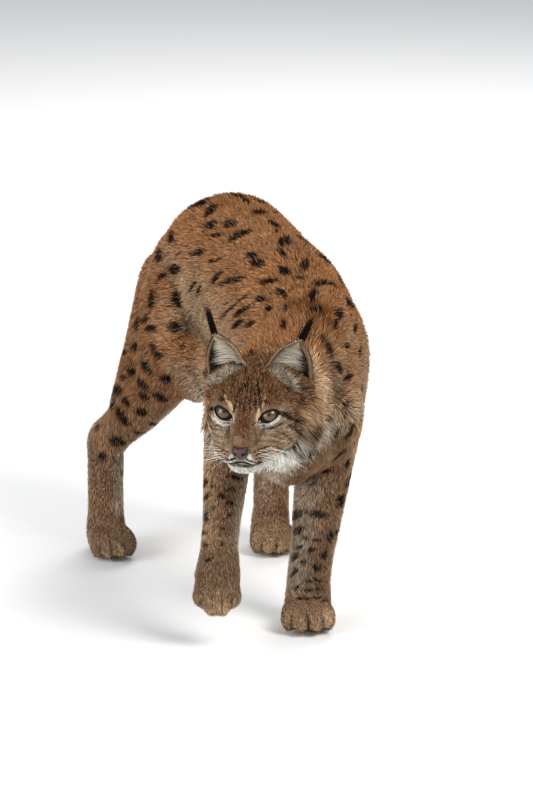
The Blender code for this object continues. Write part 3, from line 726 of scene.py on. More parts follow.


# Painted shade: where the skin is hollow, in creases and folds, its colour and that of the hair on it are
# darker.
CREASE_SHADE = 0.42
ground = shell.spread(ground_colours(shell.places, shell.normals, main_part), 9)
hollow = ((shell.spread(shell.places, 14) - shell.places) * shell.normals).sum(1)
painted_crease_shade = soft_step(0.0001, 0.0011, shell.spread(hollow[:, None], 2)[:, 0])
ground *= (1 - CREASE_SHADE * painted_crease_shade)[:, None]
clump = np.array([noise(Vector(place) * 45) for place in shell.places])
print("ground colours are mixed; the palest point is", ground.max(0).round(2))

# %% [markdown]
# ## Spots and stripes
# The dark marks are ovals and lines that lie in the skin. Those on the side that the camera sees were
# placed on the picture: each is a centre, half its length and width in pixels, and its tilt. A ray
# from the camera carries its centre and the ends of its axes to the skin. Before that, soft areas of the
# coat, placed in the same way, are made darker or lighter.

# %% Carry a mark from the picture to the skin
BODY_MARKS = [
    # x, y, half length, half width, tilt in degrees
    (202, 205, 6.0, 3.2, 20), (212, 212, 7.0, 3.0, 40), (212, 227, 5.5, 3.4, 30), (231, 226, 5.5, 3.1, 10),
    (218, 237, 4.0, 2.0, 0), (240, 237, 9.5, 2.6, 22), (173, 238, 5.0, 2.5, 80), (161, 256, 5.5, 3.7, 80),
    (200, 254, 5.5, 2.6, 20), (217, 262, 6.5, 1.3, 15), (177, 270, 5.0, 4.3, 0), (164, 277, 4.5, 1.8, 35),
    (219, 278, 6.5, 2.1, 55), (233, 282, 10.5, 2.6, 14), (253, 258, 4.6, 3.2, -20), (259, 265, 5.6, 3.2, -15),
    (178, 299, 6.5, 4.4, 90), (153, 301, 7.0, 2.4, 85), (176, 328, 5.6, 5.0, 0), (152, 329, 4.6, 3.0, 0),
    (146, 320, 4.0, 2.2, 60), (139, 325, 6.0, 1.8, 85), (195, 287, 5.0, 1.6, 60), (201, 291, 5.0, 1.7, 70),
    (231, 311, 9.0, 1.4, 40), (244, 300, 8.0, 1.2, 40), (244, 312, 9.5, 1.9, 32), (240, 325, 6.0, 2.4, 40),
    (252, 326, 5.0, 2.0, 30), (232, 192, 5.0, 2.0, -15), (243, 201, 6.0, 2.4, -35), (249, 194, 4.0, 1.5, -10),
    (258, 204, 4.6, 2.8, -20), (259, 215, 6.2, 3.5, 0), (274, 215, 4.5, 2.7, 0), (274, 227, 5.5, 3.0, -30),
    (276, 234, 1.6, 2.6, 0), (281, 245, 4.6, 2.5, 85), (287, 243, 5.0, 2.4, -60), (282, 255, 4.6, 2.3, -50),
    (285, 273, 5.6, 3.2, -30), (304, 267, 5.0, 3.5, 70), (306, 237, 7.2, 2.6, -38), (323, 261, 7.2, 3.1, -38),
    (270, 283, 7.5, 2.1, 8), (282, 294, 5.0, 2.4, -25), (287, 299, 5.0, 2.4, -60), (262, 301, 4.6, 3.0, 10),
    (273, 311, 4.0, 2.1, 0), (287, 311, 3.2, 1.5, 80), (284, 328, 4.0, 2.4, 80), (325, 286, 9.5, 3.4, -15),
    (313, 297, 6.0, 3.4, 70), (315, 312, 5.0, 2.8, 0), (347, 304, 5.6, 3.4, -55), (337, 316, 5.2, 2.9, 75),
    (333, 326, 4.0, 2.3, 80), (343, 277, 6.5, 1.9, -60), (285, 206, 5.0, 1.3, -40), (297, 217, 5.0, 1.3, -42),
    (306, 228, 3.4, 1.5, -45), (190, 203, 7.5, 2.1, 24), (177, 209, 4.5, 1.8, 40), (299, 280, 4.0, 1.2, 0),
    (138, 347, 4.0, 3.4, 30), (155, 350, 4.6, 2.4, -70), (160, 357, 3.2, 3.1, 0), (147, 367, 7.2, 2.9, -58),
    (134, 372, 4.6, 3.1, -50), (125, 378, 2.8, 2.2, 0), (168, 379, 5.0, 3.7, 0), (144, 384, 6.0, 2.9, -50),
    (118, 391, 4.6, 4.0, 0), (146, 396, 4.6, 2.9, -30), (161, 396, 6.2, 2.9, -30), (128, 402, 4.6, 2.9, -45),
    (143, 411, 5.0, 3.1, 0), (124, 417, 8.4, 3.1, -50), (153, 422, 3.9, 2.7, 0), (119, 440, 6.0, 3.4, 0),
    (133, 438, 5.0, 2.0, 10), (134, 448, 5.2, 1.8, 15), (139, 430, 3.6, 1.3, 0), (103, 456, 5.0, 2.6, 70),
    (100, 428, 3.2, 1.8, 60), (126, 352, 3.0, 2.8, 0), (107, 404, 5.0, 1.8, 80), (183, 348, 3.2, 1.4, 60),
    (349, 478, 6.4, 2.4, 75), (340, 500, 6.4, 2.9, 65), (317, 514, 8.2, 3.1, -10), (291, 516, 5.6, 2.7, 60),
    (299, 531, 4.8, 3.0, 40), (340, 527, 3.6, 1.8, 70), (329, 537, 4.6, 3.0, 80), (316, 540, 3.6, 1.5, 0),
    (306, 538, 2.6, 1.8, 0), (311, 550, 3.1, 2.1, 10), (323, 555, 3.7, 2.8, 80), (296, 557, 4.2, 2.0, 60),
    (316, 568, 3.2, 2.7, 0), (304, 562, 3.0, 2.0, 0), (295, 573, 4.2, 1.5, 60), (309, 581, 4.2, 1.3, 0),
    (319, 580, 2.6, 1.2, 0), (308, 590, 5.2, 1.3, 0), (318, 589, 3.0, 1.2, 0), (303, 599, 6.2, 1.5, 0),
    (317, 598, 4.2, 1.2, 0), (325, 601, 3.0, 1.2, 0), (297, 588, 3.4, 1.2, 10), (300, 547, 2.6, 1.5, 30),
    (204, 484, 4.2, 1.7, 80), (230, 490, 4.0, 1.7, 20), (205, 498, 3.6, 1.8, 60), (222, 497, 4.2, 2.3, 0),
    (230, 504, 2.8, 2.1, 0), (204, 516, 3.7, 1.8, 70), (200, 520, 3.1, 1.3, 80), (205, 533, 2.6, 2.1, 0),
    (224, 529, 2.3, 1.4, 0), (205, 545, 3.2, 1.5, -30), (209, 560, 3.7, 1.5, 10), (214, 487, 2.2, 1.2, 0),
    # the mark at (236, 478), under the chin, is partly a spot and partly the chin's painted shadow
    (228, 517, 2.4, 1.3, 30), (214, 509, 2.2, 1.3, 40), (236, 478, 6.0, 2.0, -15), (222, 545, 2.4, 1.2, 20),
    (326, 348, 9.5, 2.6, -62), (336, 369, 5.5, 2.2, -70), (344, 346, 3.6, 2.4, 0), (346, 378, 4.2, 2.8, 20),
    (346, 405, 5.2, 1.9, 50), (328, 418, 3.4, 2.4, 80), (344, 417, 4.2, 1.6, 60), (336, 432, 4.2, 1.9, 50),
    (349, 431, 7.5, 1.5, 62), (337, 454, 8.0, 1.7, 40), (346, 462, 4.2, 1.8, 70), (325, 470, 4.2, 1.6, 10),
    (313, 484, 4.5, 1.3, 20), (352, 330, 4.0, 2.0, 70), (357, 352, 5.0, 1.6, 85), (358, 391, 5.0, 1.8, 80),
]
NEAR = 0.03  # a mark doesn't reach a surface that is further off than this
MOST_GROWTH = 2.2  # an axis grows by no more than this where the skin turns away


def sight(x, y):
    """The direction in which the camera sees this place of the picture."""
    wide, tall = PICTURE
    return CAMERA_TURN @ Vector(((x - wide / 2) / FOCUS, (tall / 2 - y) / FOCUS, -1)).normalized()


def seen_at(x, y):
    """Where the camera's ray through this place of the picture, or one close by, meets the skin."""
    for reach in (0, 2.5, 5, 7.5):
        for turn in range(0, 360, 45 if reach else 360):
            aside = reach * math.cos(math.radians(turn)), reach * math.sin(math.radians(turn))
            place, normal, _, _ = skin_tree.ray_cast(camera.location, sight(x + aside[0], y + aside[1]))
            if place is not None:
                return place, normal
    return None, None


def oval(centre, normal, first, second, colour=DARK, strength=1.0):
    """A mark: its centre, and rows that turn an offset into shares of its two half axes."""
    axes = np.array((first, second))
    duals = np.linalg.pinv(axes).T
    return {"centre": np.array(centre), "normal": np.array(normal), "duals": duals, "colour": colour,
            "reach": np.linalg.norm(axes, axis=1).max() * 1.4, "strength": strength}


def picture_oval(x, y, length, width, tilt, colour=DARK, strength=1.0):
    """The oval on the skin that the camera sees with this centre, half length, half width and tilt."""
    centre, normal = seen_at(x, y)
    if centre is None:
        return []
    metre = FOCUS / (centre - camera.location).length
    axes = []
    for size, turn in ((length, tilt), (width, tilt + 90)):
        along = Vector((math.cos(math.radians(turn)), math.sin(math.radians(turn)), 0)) * size / metre
        offset = CAMERA_TURN @ along
        look = sight(x, y)
        laid = offset - look * (offset.dot(normal) / look.dot(normal))
        axes.append(laid * min(1.0, MOST_GROWTH * size / metre / laid.length))
    return [oval(centre, normal, *axes, colour, strength)]


# Soft areas of the coat: partly its own tone, as on the dark shoulders, and partly painted light and painted
# shade, as on the lower legs and paws, which are lightened where they lie in shade.
COAT_TONE_AND_PAINTED_LIGHT = [
    # x, y, radius in pixels, and how much brighter the red, green and blue are in the middle
    (318, 318, 24, (0.62, 0.54, 0.48)), (160, 288, 22, (0.66, 0.6, 0.56)),
    (222, 204, 22, (0.88, 0.8, 0.76)), (205, 315, 24, (0.82, 0.82, 0.82)),
    (193, 372, 18, (0.72, 0.72, 0.74)), (105, 440, 14, (1.3, 1.2, 1.16)),
    (119, 505, 12, (1.45, 1.35, 1.28)), (298, 492, 14, (1.5, 1.38, 1.32)), (330, 618, 9, (1.8, 1.85, 1.85)),
    (292, 615, 8, (1.3, 1.35, 1.35)), (222, 572, 14, (0.86, 0.8, 0.82)), (317, 385, 12, (1.6, 1.55, 1.6)),
    (222, 606, 9, (1.3, 1.35, 1.35)), (281, 396, 9, (0.78, 0.76, 0.74)), (338, 402, 12, (1.3, 1.18, 1.1)),
    (300, 308, 13, (0.7, 0.6, 0.52)), (326, 331, 14, (0.76, 0.7, 0.68)), (268, 505, 17, (0.88, 0.72, 0.66)),
    (262, 452, 8, (0.66, 0.52, 0.42)), (221, 453, 7, (0.92, 0.84, 0.78)), (216, 396, 8, (1.35, 1.42, 1.48)),
    (209, 430, 10, (1.55, 1.55, 1.6)), (317, 388, 10, (1.3, 1.28, 1.32)), (119, 505, 14, (1.18, 1.2, 1.22)),
    (302, 436, 9, (1.15, 1.2, 1.24)), (312, 470, 12, (1.22, 1.16, 1.14)), (322, 607, 9, (1.1, 1.12, 1.14)),
    (218, 606, 10, (1.22, 1.24, 1.22)), (215, 585, 10, (1.1, 1.12, 1.14)),
    (160, 288, 16, (0.9, 0.86, 0.84)),
]
for x, y, radius, change in COAT_TONE_AND_PAINTED_LIGHT:
    middle = seen_at(x, y)[0]
    away = np.linalg.norm(shell.places - np.array(middle), axis=1) * METRE / radius
    ground *= 1 + np.exp(-away[:, None] ** 2) * (np.array(change) - 1)

SPREAD = 1.28  # the tufts' ragged edges make a mark look smaller than it is
marks = []
for x, y, length, width, tilt in BODY_MARKS:
    marks += picture_oval(x, y, length * SPREAD, width * SPREAD, tilt)
print(len(marks), "of", len(BODY_MARKS), "marks found the skin")

# %% [markdown]
# ## Spots on the hidden side
# The side away from the camera gets spots by a rule. Points of the skin are tried in a random order. A
# point gets a spot if the camera doesn't see it, if it isn't on the belly, and if no other spot is close.
# The spacing and the size depend on the part, and the spots lie along the coat.

# %% Place spots by the rule
SPOTS = {
    # half length, half width, spacing in metres
    "torso": (0.0105, 0.0058, 0.036), "neck": (0.0095, 0.0040, 0.036), "tail": (0.0080, 0.0050, 0.032),
    "foreleg_left": (0.0066, 0.0042, 0.024), "foreleg_right": (0.0062, 0.0036, 0.023),
    "hind_leg": (0.0088, 0.0056, 0.030), "hind_paw": (0.0036, 0.0022, 0.022),
    "forepaw": (0.0036, 0.0022, 0.022),
}


def hidden_spots(seed, tries):
    random = np.random.default_rng(seed)
    centres = [mark["centre"] for mark in marks]
    found = []
    eye = Vector(camera.location)
    for face in random.choice(len(areas), tries, p=areas / areas.sum()):
        corner = shell.triangles[face][0]
        name = FLESH[main_part[corner]]
        name = name if name in SPOTS else sideless(name)
        place, normal = Vector(shell.places[corner]), Vector(shell.normals[corner])
        if name not in SPOTS or normal.z < -0.55 or place.z < 0.02:
            continue
        length, width, spacing = SPOTS[name]
        low = 0.62 + 0.38 * float(soft_step(0.10, 0.34, place.z))
        gaps = np.linalg.norm(np.array(centres) - np.array(place), axis=1)
        if gaps.min() < spacing * low * random.uniform(0.92, 1.1):
            continue
        if skin_tree.ray_cast(place + normal * 0.002, (eye - place).normalized())[0] is None:
            continue
        along = Vector(lie[corner])
        side = along.cross(normal)
        turn = random.uniform(-0.5, 0.5)
        first = (along + side * turn).normalized()
        second = first.cross(normal)
        size = low * random.uniform(0.75, 1.2)
        axes = first * length * size, second * width * size * random.uniform(0.8, 1.15)
        found.append(oval(place, normal, *axes))
        centres.append(np.array(place))
    return found


marks += hidden_spots(5, 9000)
print(len(marks), "marks in all on the body")

# %% [markdown]
# ## The markings of the face
# Fine lines make the face: dark streaks on the forehead, a line from the outer corner of each eye across
# the cheek, white crescents round the eyes, and rows of dots that the whiskers grow from. A line is a
# chain of narrow ovals.

# %% Draw the lines of the face
FACE_LINES = [
    # half width in pixels, colour, strength, and for each line the places that it passes
    (1.3, CREAM, 0.45, [(258.5, 414), (261, 408), (264, 402), (265, 396)],
     [(232, 412), (229.5, 406), (226.5, 400), (225, 395)]),
    (2.4, DARK, 1.0, [(278, 412), (285, 415.5), (293, 419), (303, 424)]),
    (1.5, WHITE, 0.9, [(211, 416.5), (217, 422), (223, 425.5), (230, 425)],
     [(261, 427.5), (267, 426.5), (274, 423), (280, 418)]),
    (1.7, CREAM, 0.85, [(256, 425), (257, 418), (259, 411), (261.5, 405)],
     [(233.5, 421), (233, 414), (231.5, 408), (229, 402)]),
    (1.1, DARK, 0.9, [(268, 429), (276, 427), (284, 422)]),
    (1.8, DARK, 1.0, [(215.5, 410), (209, 408.5), (201, 407.5)]),
    (0.8, DARK, 0.85, [(209, 416), (215, 423.5), (223, 427.5)]),
    (1.4, DARK, 0.85, [(288, 424), (295, 430), (300, 437)]),
    (1.1, DARK, 0.7, [(276, 431), (284, 434), (291, 440)]),
    (0.8, BROWN, 0.6, [(271, 436), (280, 438), (290, 444)]),
    (1.0, BROWN, 0.8, [(272, 441), (281, 444), (293, 450)], [(276, 447), (285, 450), (294, 456)]),
    (0.8, DARK, 0.7, [(204, 417), (207, 423), (211, 428)]),
    (1.0, DARK, 0.7, [(203, 425), (207, 431), (213, 436)]),
    (1.0, DARK, 0.6, [(203, 433), (208, 439), (214, 443)]),
    (1.4, DARK, 0.95, [(233, 413), (236.5, 400), (243, 384)]),
    (1.1, DARK, 0.9, [(238.5, 411), (241.5, 397), (246.5, 381)]),
    (1.4, DARK, 0.95, [(244, 412), (246, 397), (249, 376)]),
    (1.1, DARK, 0.95, [(250, 412), (250.5, 397), (251, 374)]),
    (1.4, DARK, 0.9, [(255.5, 411), (255.5, 398), (253.5, 380)]),
    (1.5, DARK, 0.95, [(261, 411), (260, 398), (257, 382)]),
    (1.0, DARK, 0.9, [(246, 374), (247, 362), (249.5, 350)], [(254, 376), (254, 362), (252, 350)]),
    (0.9, DARK, 0.8, [(238, 384), (241, 372), (243, 362)], [(263, 385), (262, 372), (259, 362)]),
    (0.9, DARK, 0.7, [(229, 397), (233, 386), (235, 376)], [(269, 397), (268, 385), (266, 375)]),
    (0.9, DARK, 0.6, [(222, 396), (226, 386)], [(276, 398), (275, 387)]),
    (1.6, BROWN, 0.45, [(231, 424), (227, 433), (224, 443)], [(254.5, 428), (256, 436), (257, 445)]),
    (1.2, DARK, 0.85, [(252.5, 424.5), (256, 422)]),
    (2.0, DARK, 0.85, [(229, 462.5), (237, 465.3), (245, 466.2), (254, 465), (262, 462)]),
    (5.0, CREAM, 0.65, [(309, 350), (315, 368), (319, 390), (325, 412)]),
    (3.0, BROWN, 0.45, [(325, 352), (331, 372), (334, 394)]),
    (1.2, CREAM, 0.60, [(282, 427), (291, 432), (297, 439)]),
    (1.1, CREAM, 0.60, [(279, 440.5), (288, 441.5), (299, 446)]),
    (1.1, CREAM, 0.55, [(280, 447.5), (289, 449), (300, 454)], [(206, 419.5), (209, 425.5), (213, 431)],
     [(205, 430), (209, 436), (215, 441)]),
    (1.0, DARK, 0.75, [(283, 384.5), (291, 390), (298, 395)], [(276, 379), (283, 386), (289, 392)]),
    (0.9, DARK, 0.65, [(212, 381), (219, 377), (226, 372)]),
    (0.7, BROWN, 0.75, [(254, 452), (262, 449), (271, 445)], [(255, 456), (263, 453), (272, 449.5)],
     [(256, 459.5), (264, 457), (272, 454)], [(228, 452), (223, 449.5), (217.5, 446)],
     [(228, 456), (223, 453.5), (217.5, 451)], [(229, 459.5), (224, 458), (219, 455)]),
]
FACE_SPOTS = [
    # x, y, half length, half width, tilt, colour, strength
    (267, 402, 3.4, 1.9, -10, DARK, 1.0), (221.5, 399, 3.0, 1.9, 15, DARK, 1.0),
    (231, 457.5, 3.2, 2.2, 60, WHITE, 0.95), (249.5, 457.5, 3.2, 2.2, -60, WHITE, 0.95),
    # the buff oval at (238, 440) is a painted highlight on the bridge of the nose
    (238, 440, 4.2, 4.6, 0, BUFF, 0.35), (294, 426, 1.8, 2.4, 0, DARK, 0.7),
    (303, 430, 2.0, 3.2, 10, DARK, 0.8), (299, 402, 2.0, 3.5, -20, DARK, 0.6),
    (287, 378, 21.0, 6.4, -37, EAR_PALE, 0.75), (298, 374, 11.0, 6.2, -60, SOOT, 0.95),
    (302, 387, 6.0, 3.6, -45, SOOT, 0.75), (284, 376, 5.0, 1.2, -60, SOOT, 0.6),
    (291, 383, 5.0, 1.2, -50, SOOT, 0.6),
    (222, 375, 19.0, 5.4, 35, EAR_PALE, 0.72), (212, 373, 8.0, 5.0, 75, SOOT, 0.92),
    (214, 383, 6.0, 1.8, 42, SOOT, 0.5), (220, 374, 4.5, 1.2, 60, SOOT, 0.5),
]
TOE_LINES = [
    (1.1, DARK, 0.85, [(291.5, 617), (292.5, 630)]),
    (1.3, DARK, 0.95, [(307, 615), (309, 631)]),
    (1.1, DARK, 0.85, [(321, 616), (322.5, 629)]),
    (1.0, DARK, 0.7, [(100, 545), (101, 558)], [(111, 544), (112, 560)], [(124, 544), (125, 557)],
     [(262, 541), (262, 554)], [(276, 541), (277, 554)]),
    (1.0, BROWN, 0.7, [(212, 594), (213, 608)], [(222, 596), (222, 614)], [(232, 594), (231, 608)]),
]
DOT_ROWS = [
    # the first and last dot of each row of whisker roots, and how many
    ((255, 451.5), (268, 446.5), 5), ((256, 455.5), (270, 450.5), 6), ((257, 459), (269, 455), 5),
    ((227, 451.5), (219.5, 447.5), 3), ((227.5, 455.5), (218.5, 451.5), 4), ((228, 459), (220, 456), 4),
]


def laid_line(points, width, colour, strength):
    """A chain of ovals through these places on the skin."""
    found = []
    for first, second in zip(points, points[1:]):
        middle, along = (first + second) / 2, (second - first) / 2
        place, normal, _, _ = skin_tree.find_nearest(middle)
        across = along.cross(normal).normalized() * width
        found.append(oval(place, normal, along + along.normalized() * width * 0.7, across, colour, strength))
    return found


def beside_eye(side, t, wide, tall):
    """On the skin by the lids: t is 0 at the inner corner, 1 at the lower lid's end, -1 at the upper's."""
    angle = (math.pi if side > 0 else 0.0) + side * t * math.pi
    centre, tilt, place = almond(side, angle / (2 * math.pi))
    x, z = place.x * wide, place.z * tall
    hit = skin_tree.ray_cast(centre + tilt @ Vector((x, -0.05, z)), tilt @ Vector((0, 1, 0)))[0]
    return hit if hit is not None else centre + tilt @ Vector((x, -EYE_RADIUS, z))


def eye_marks(side):
    """White crescents that hug the lids, inside a darker ring."""
    lower = [beside_eye(side, t / 10, 1.24, 1.50) for t in range(-1, 9)]
    inner = [beside_eye(side, -t / 12, 1.24, 1.40) for t in range(0, 4)]
    ring = [beside_eye(side, -t / 12, 1.05, 1.22) for t in range(4, 13)]
    return (laid_line(ring, 0.0014, DARK, 0.85) + laid_line(lower, 0.0023, WHITE, 0.97)
            + laid_line(inner, 0.0017, WHITE, 0.9))


FACE_MIDDLE = 240  # the x of the picture where the left and right side of the face meet
LIP_STEPS = 24
LIP_MARKS = [mouth_place(2 * step / LIP_STEPS - 1, 0.9) for step in range(LIP_STEPS + 1)]


def line_marks(width, colour, strength, path):
    found = []
    for (x1, y1), (x2, y2) in zip(path, path[1:]):
        length, tilt = math.hypot(x2 - x1, y2 - y1), math.degrees(math.atan2(y1 - y2, x2 - x1))
        middle = (x1 + x2) / 2, (y1 + y2) / 2
        found += picture_oval(*middle, length / 2 + width * 0.6, width, tilt, colour, strength)
    return found


for side in SIDES:
    marks += eye_marks(side)
for width, colour, strength, *paths in FACE_LINES + TOE_LINES:
    for path in paths:
        marks += line_marks(width, colour, strength, path)
for row in FACE_SPOTS:
    marks += picture_oval(*row)
whisker_roots = []
for start, end, count in DOT_ROWS:
    for step in range(count):
        share = step / (count - 1)
        dot = [a + (b - a) * share for a, b in zip(start, end)]
        marks += picture_oval(*dot, 1.0, 0.75, 20 if dot[0] > FACE_MIDDLE else -20, DARK, 0.95)
        place, normal = seen_at(*dot)
        whisker_roots.append((place, normal, 1 if start[0] > FACE_MIDDLE else -1, share))
for number, step in enumerate(zip(LIP_MARKS, LIP_MARKS[1:])):
    width = 0.0010 + 0.0010 * math.sin(math.pi * (number + 0.5) / LIP_STEPS)
    marks += laid_line(step, width, DARK, 0.95)
print(len(marks), "marks with the face's;", len(whisker_roots), "roots for whiskers")

# %% [markdown]
# ## The colour of a point
# Skin and hair take their colour from the same function, so the pattern of the coat doesn't depend on
# which of them shows. For a tuft it is asked near its middle and near its tip, and its colour runs from
# one to the other. The edge of a mark is ragged because each tuft is either in it or not.

# %% Lay the marks over the ground colours
COLOURS = "coat"  # what a mesh calls the colours of its points
BODY_MARK = 0.97  # how much of a mark's colour covers the coat


def colours_at(places, base, raggedness):
    """The base colours with every mark laid over them; raggedness has one number for each place."""
    colours = base.copy()
    order = np.argsort(places[:, 0])
    column = places[order, 0]
    for mark in marks:
        low, high = np.searchsorted(column, mark["centre"][0] + np.array((-1.3, 1.3)) * mark["reach"])
        near = order[low:high]
        offset = places[near] - mark["centre"]
        close = np.abs(offset).max(1) < mark["reach"] * 1.3
        near, offset = near[close], offset[close]
        share = np.hypot(*(mark["duals"] @ offset.T))
        flat = np.abs(offset @ mark["normal"]) < NEAR
        cover = soft_step(1.22, 0.80, share + raggedness[near] * 0.16) * flat * mark["strength"]
        colours[near] = mixed(colours[near], mark["colour"], cover)
    return colours


def paint_on(mesh, colours):
    """Stores one colour to each vertex."""
    layer = mesh.color_attributes.new(name=COLOURS, type="FLOAT_COLOR", domain="POINT")
    four = np.ones((len(colours), 4), np.float32)
    four[:, :3] = colours
    layer.data.foreach_set("color", four.ravel())


UNDERFUR = 0.62  # how bright the skin is next to the hair above it
for mark in marks:
    mark["strength"] *= BODY_MARK if mark["colour"] is DARK else 1
skin_colours = colours_at(shell.places, ground, np.zeros(shell.count))
paint_on(skin.data, skin_colours * UNDERFUR)
print("the skin is painted with", len(marks), "marks")

# %% [markdown]
# ## Materials
# A small class writes the shader mathematics, so that a material reads like a formula. A number and a
# socket can be added or multiplied in either order. Any other node goes through one method.

# %% A class for shader sockets


class Socket:
    """An output of a shader node, with the operators of a number."""

    def __init__(self, tree, output):
        self.tree = tree
        self.output = output

    def math(self, operation, *others):
        node = self.tree.nodes.new("ShaderNodeMath")
        node.operation = operation
        for item, target in zip(others, node.inputs):
            connect(self.tree, item, target)
        return Socket(self.tree, node.outputs[0])

    def __add__(self, other):
        return self.math("ADD", self, other)

    def __sub__(self, other):
        return self.math("SUBTRACT", self, other)

    def __mul__(self, other):
        return self.math("MULTIPLY", self, other)

    def __rsub__(self, other):
        return self.math("SUBTRACT", other, self)

    __radd__ = __add__
    __rmul__ = __mul__

    def step(self, low, high):
        """0 below low, 1 above high, and a smooth rise between; low may be above high."""
        return self.node("MapRange", 0, self, low, high, 0.0, 1.0, interpolation_type="SMOOTHSTEP")

    def node(self, kind, output, *items, **settings):
        """Any other node: its kind, its output's number or name, its inputs in order, and its settings."""
        made = self.tree.nodes.new("ShaderNode" + kind)
        for name, value in settings.items():
            setattr(made, name, value)
        targets = [socket for socket in made.inputs if socket.enabled]
        for item, target in zip(items, targets):
            connect(self.tree, item, target)
        outputs = [socket for socket in made.outputs if socket.enabled]
        return Socket(self.tree, outputs[output] if isinstance(output, int) else made.outputs[output])

    def noise(self, scale, detail=2.0):
        return self.node("TexNoise", 0, self, scale, detail, 0.5)

    def mix(self, other, share):
        """The colour of this socket moved towards another colour by share."""
        return self.node("Mix", 0, share, self, other, data_type="RGBA")


def connect(tree, item, target):
    """Links a socket to an input, or sets the input to a plain value; None leaves it alone."""
    if isinstance(item, Socket):
        tree.links.new(item.output, target)
    elif item is not None:
        shape = getattr(target, "default_value", None)
        if hasattr(shape, "__len__") and len(shape) == 4 and len(item) == 3:
            item = (*item, 1)
        target.default_value = item


def dress(mesh, made):
    """Makes this the mesh's only material."""
    mesh.materials.clear()
    mesh.materials.append(made)
    mesh.polygons.foreach_set("material_index", np.zeros(len(mesh.polygons), np.int32))


def material(name, roughness=0.6, **constants):
    """A new material: its shader node, and sockets for Object coordinates and for any attribute."""
    made = bpy.data.materials.new(name)
    made.use_nodes = True
    tree = made.node_tree
    shader = tree.nodes["Principled BSDF"]
    shader.inputs["Roughness"].default_value = roughness
    for key, value in constants.items():
        shader.inputs[key.replace("_", " ").title().replace("Ior", "IOR")].default_value = value
    start = Socket(tree, tree.nodes.new("ShaderNodeTexCoord").outputs["Object"])
    return made, shader, start


def painted(start):
    """The colour that paint_on stored."""
    return start.node("Attribute", 0, attribute_name=COLOURS)


def bump(start, shader, height, strength, distance):
    """Feeds the shader's normal with a bump of this height."""
    connect(start.tree, start.node("Bump", 0, strength, distance, None, height), shader.inputs["Normal"])


def fur_material(name, roughness):
    made, shader, start = material(name, roughness, specular_ior_level=0.0)
    strands = start.noise(900.0, 3.0)
    patches = start.noise(60.0, 2.0)
    share = strands.step(0.30, 0.72) * 0.30 + patches.step(0.3, 0.7) * 0.12
    dark = painted(start).node("HueSaturation", 0, 0.5, 1.05, 0.72, 1.0, painted(start))
    connect(start.tree, painted(start).mix(dark, share), shader.inputs["Base Color"])
    bump(start, shader, strands, 0.35, 0.0006)
    return made


FUR = fur_material("coat_hair", 0.72)
SKIN = fur_material("coat_skin", 0.85)
dress(skin.data, SKIN)
print("materials:", [made.name for made in (FUR, SKIN)])

# %% [markdown]
# ## Tufts
# A tuft of short hair is a closed spindle: a point at the root, a flat three-sided ring where it is
# widest, and a point at the tip. Long tufts have more rings. All the tufts of a piece are made at once,
# from arrays. Each also gets its own patch of the texture, at its root's place on the skin's map.

# %% Make tufts from arrays
PATCH = 0.003  # the side of a tuft's patch as a share of the texture's
ROOT_DEPTH = 0.0010
FLOOR_GAP = 0.0004  # no hair goes lower than this


def tuft_faces(rings):
    """The triangles of one tuft: vertex 0 is the root, then three to each ring, and the tip is last."""
    tip = 3 * rings + 1
    faces = [(0, 1 + (i + 1) % 3, 1 + i) for i in range(3)]
    for ring in range(rings - 1):
        low, high = 1 + 3 * ring, 4 + 3 * ring
        for i in range(3):
            j = (i + 1) % 3
            faces += [(low + i, low + j, high + j), (low + i, high + j, high + i)]
    last = tip - 3
    return faces + [(last + i, last + (i + 1) % 3, tip) for i in range(3)]


def tuft_patch(rings):
    """The places in the patch for the corners that tuft_faces gives: one column to each side."""
    levels = [(ring + 1) / (rings + 1) for ring in range(rings)]
    corners = [[((i + 0.5) / 3, 0), ((i + 1) / 3, levels[0]), (i / 3, levels[0])] for i in range(3)]
    for low, high in zip(levels, levels[1:]):
        for i in range(3):
            corners += [[(i / 3, low), ((i + 1) / 3, low), ((i + 1) / 3, high)]]
            corners += [[(i / 3, low), ((i + 1) / 3, high), (i / 3, high)]]
    corners += [[(i / 3, levels[-1]), ((i + 1) / 3, levels[-1]), ((i + 0.5) / 3, 1)] for i in range(3)]
    return np.array(corners).reshape(-1, 2)


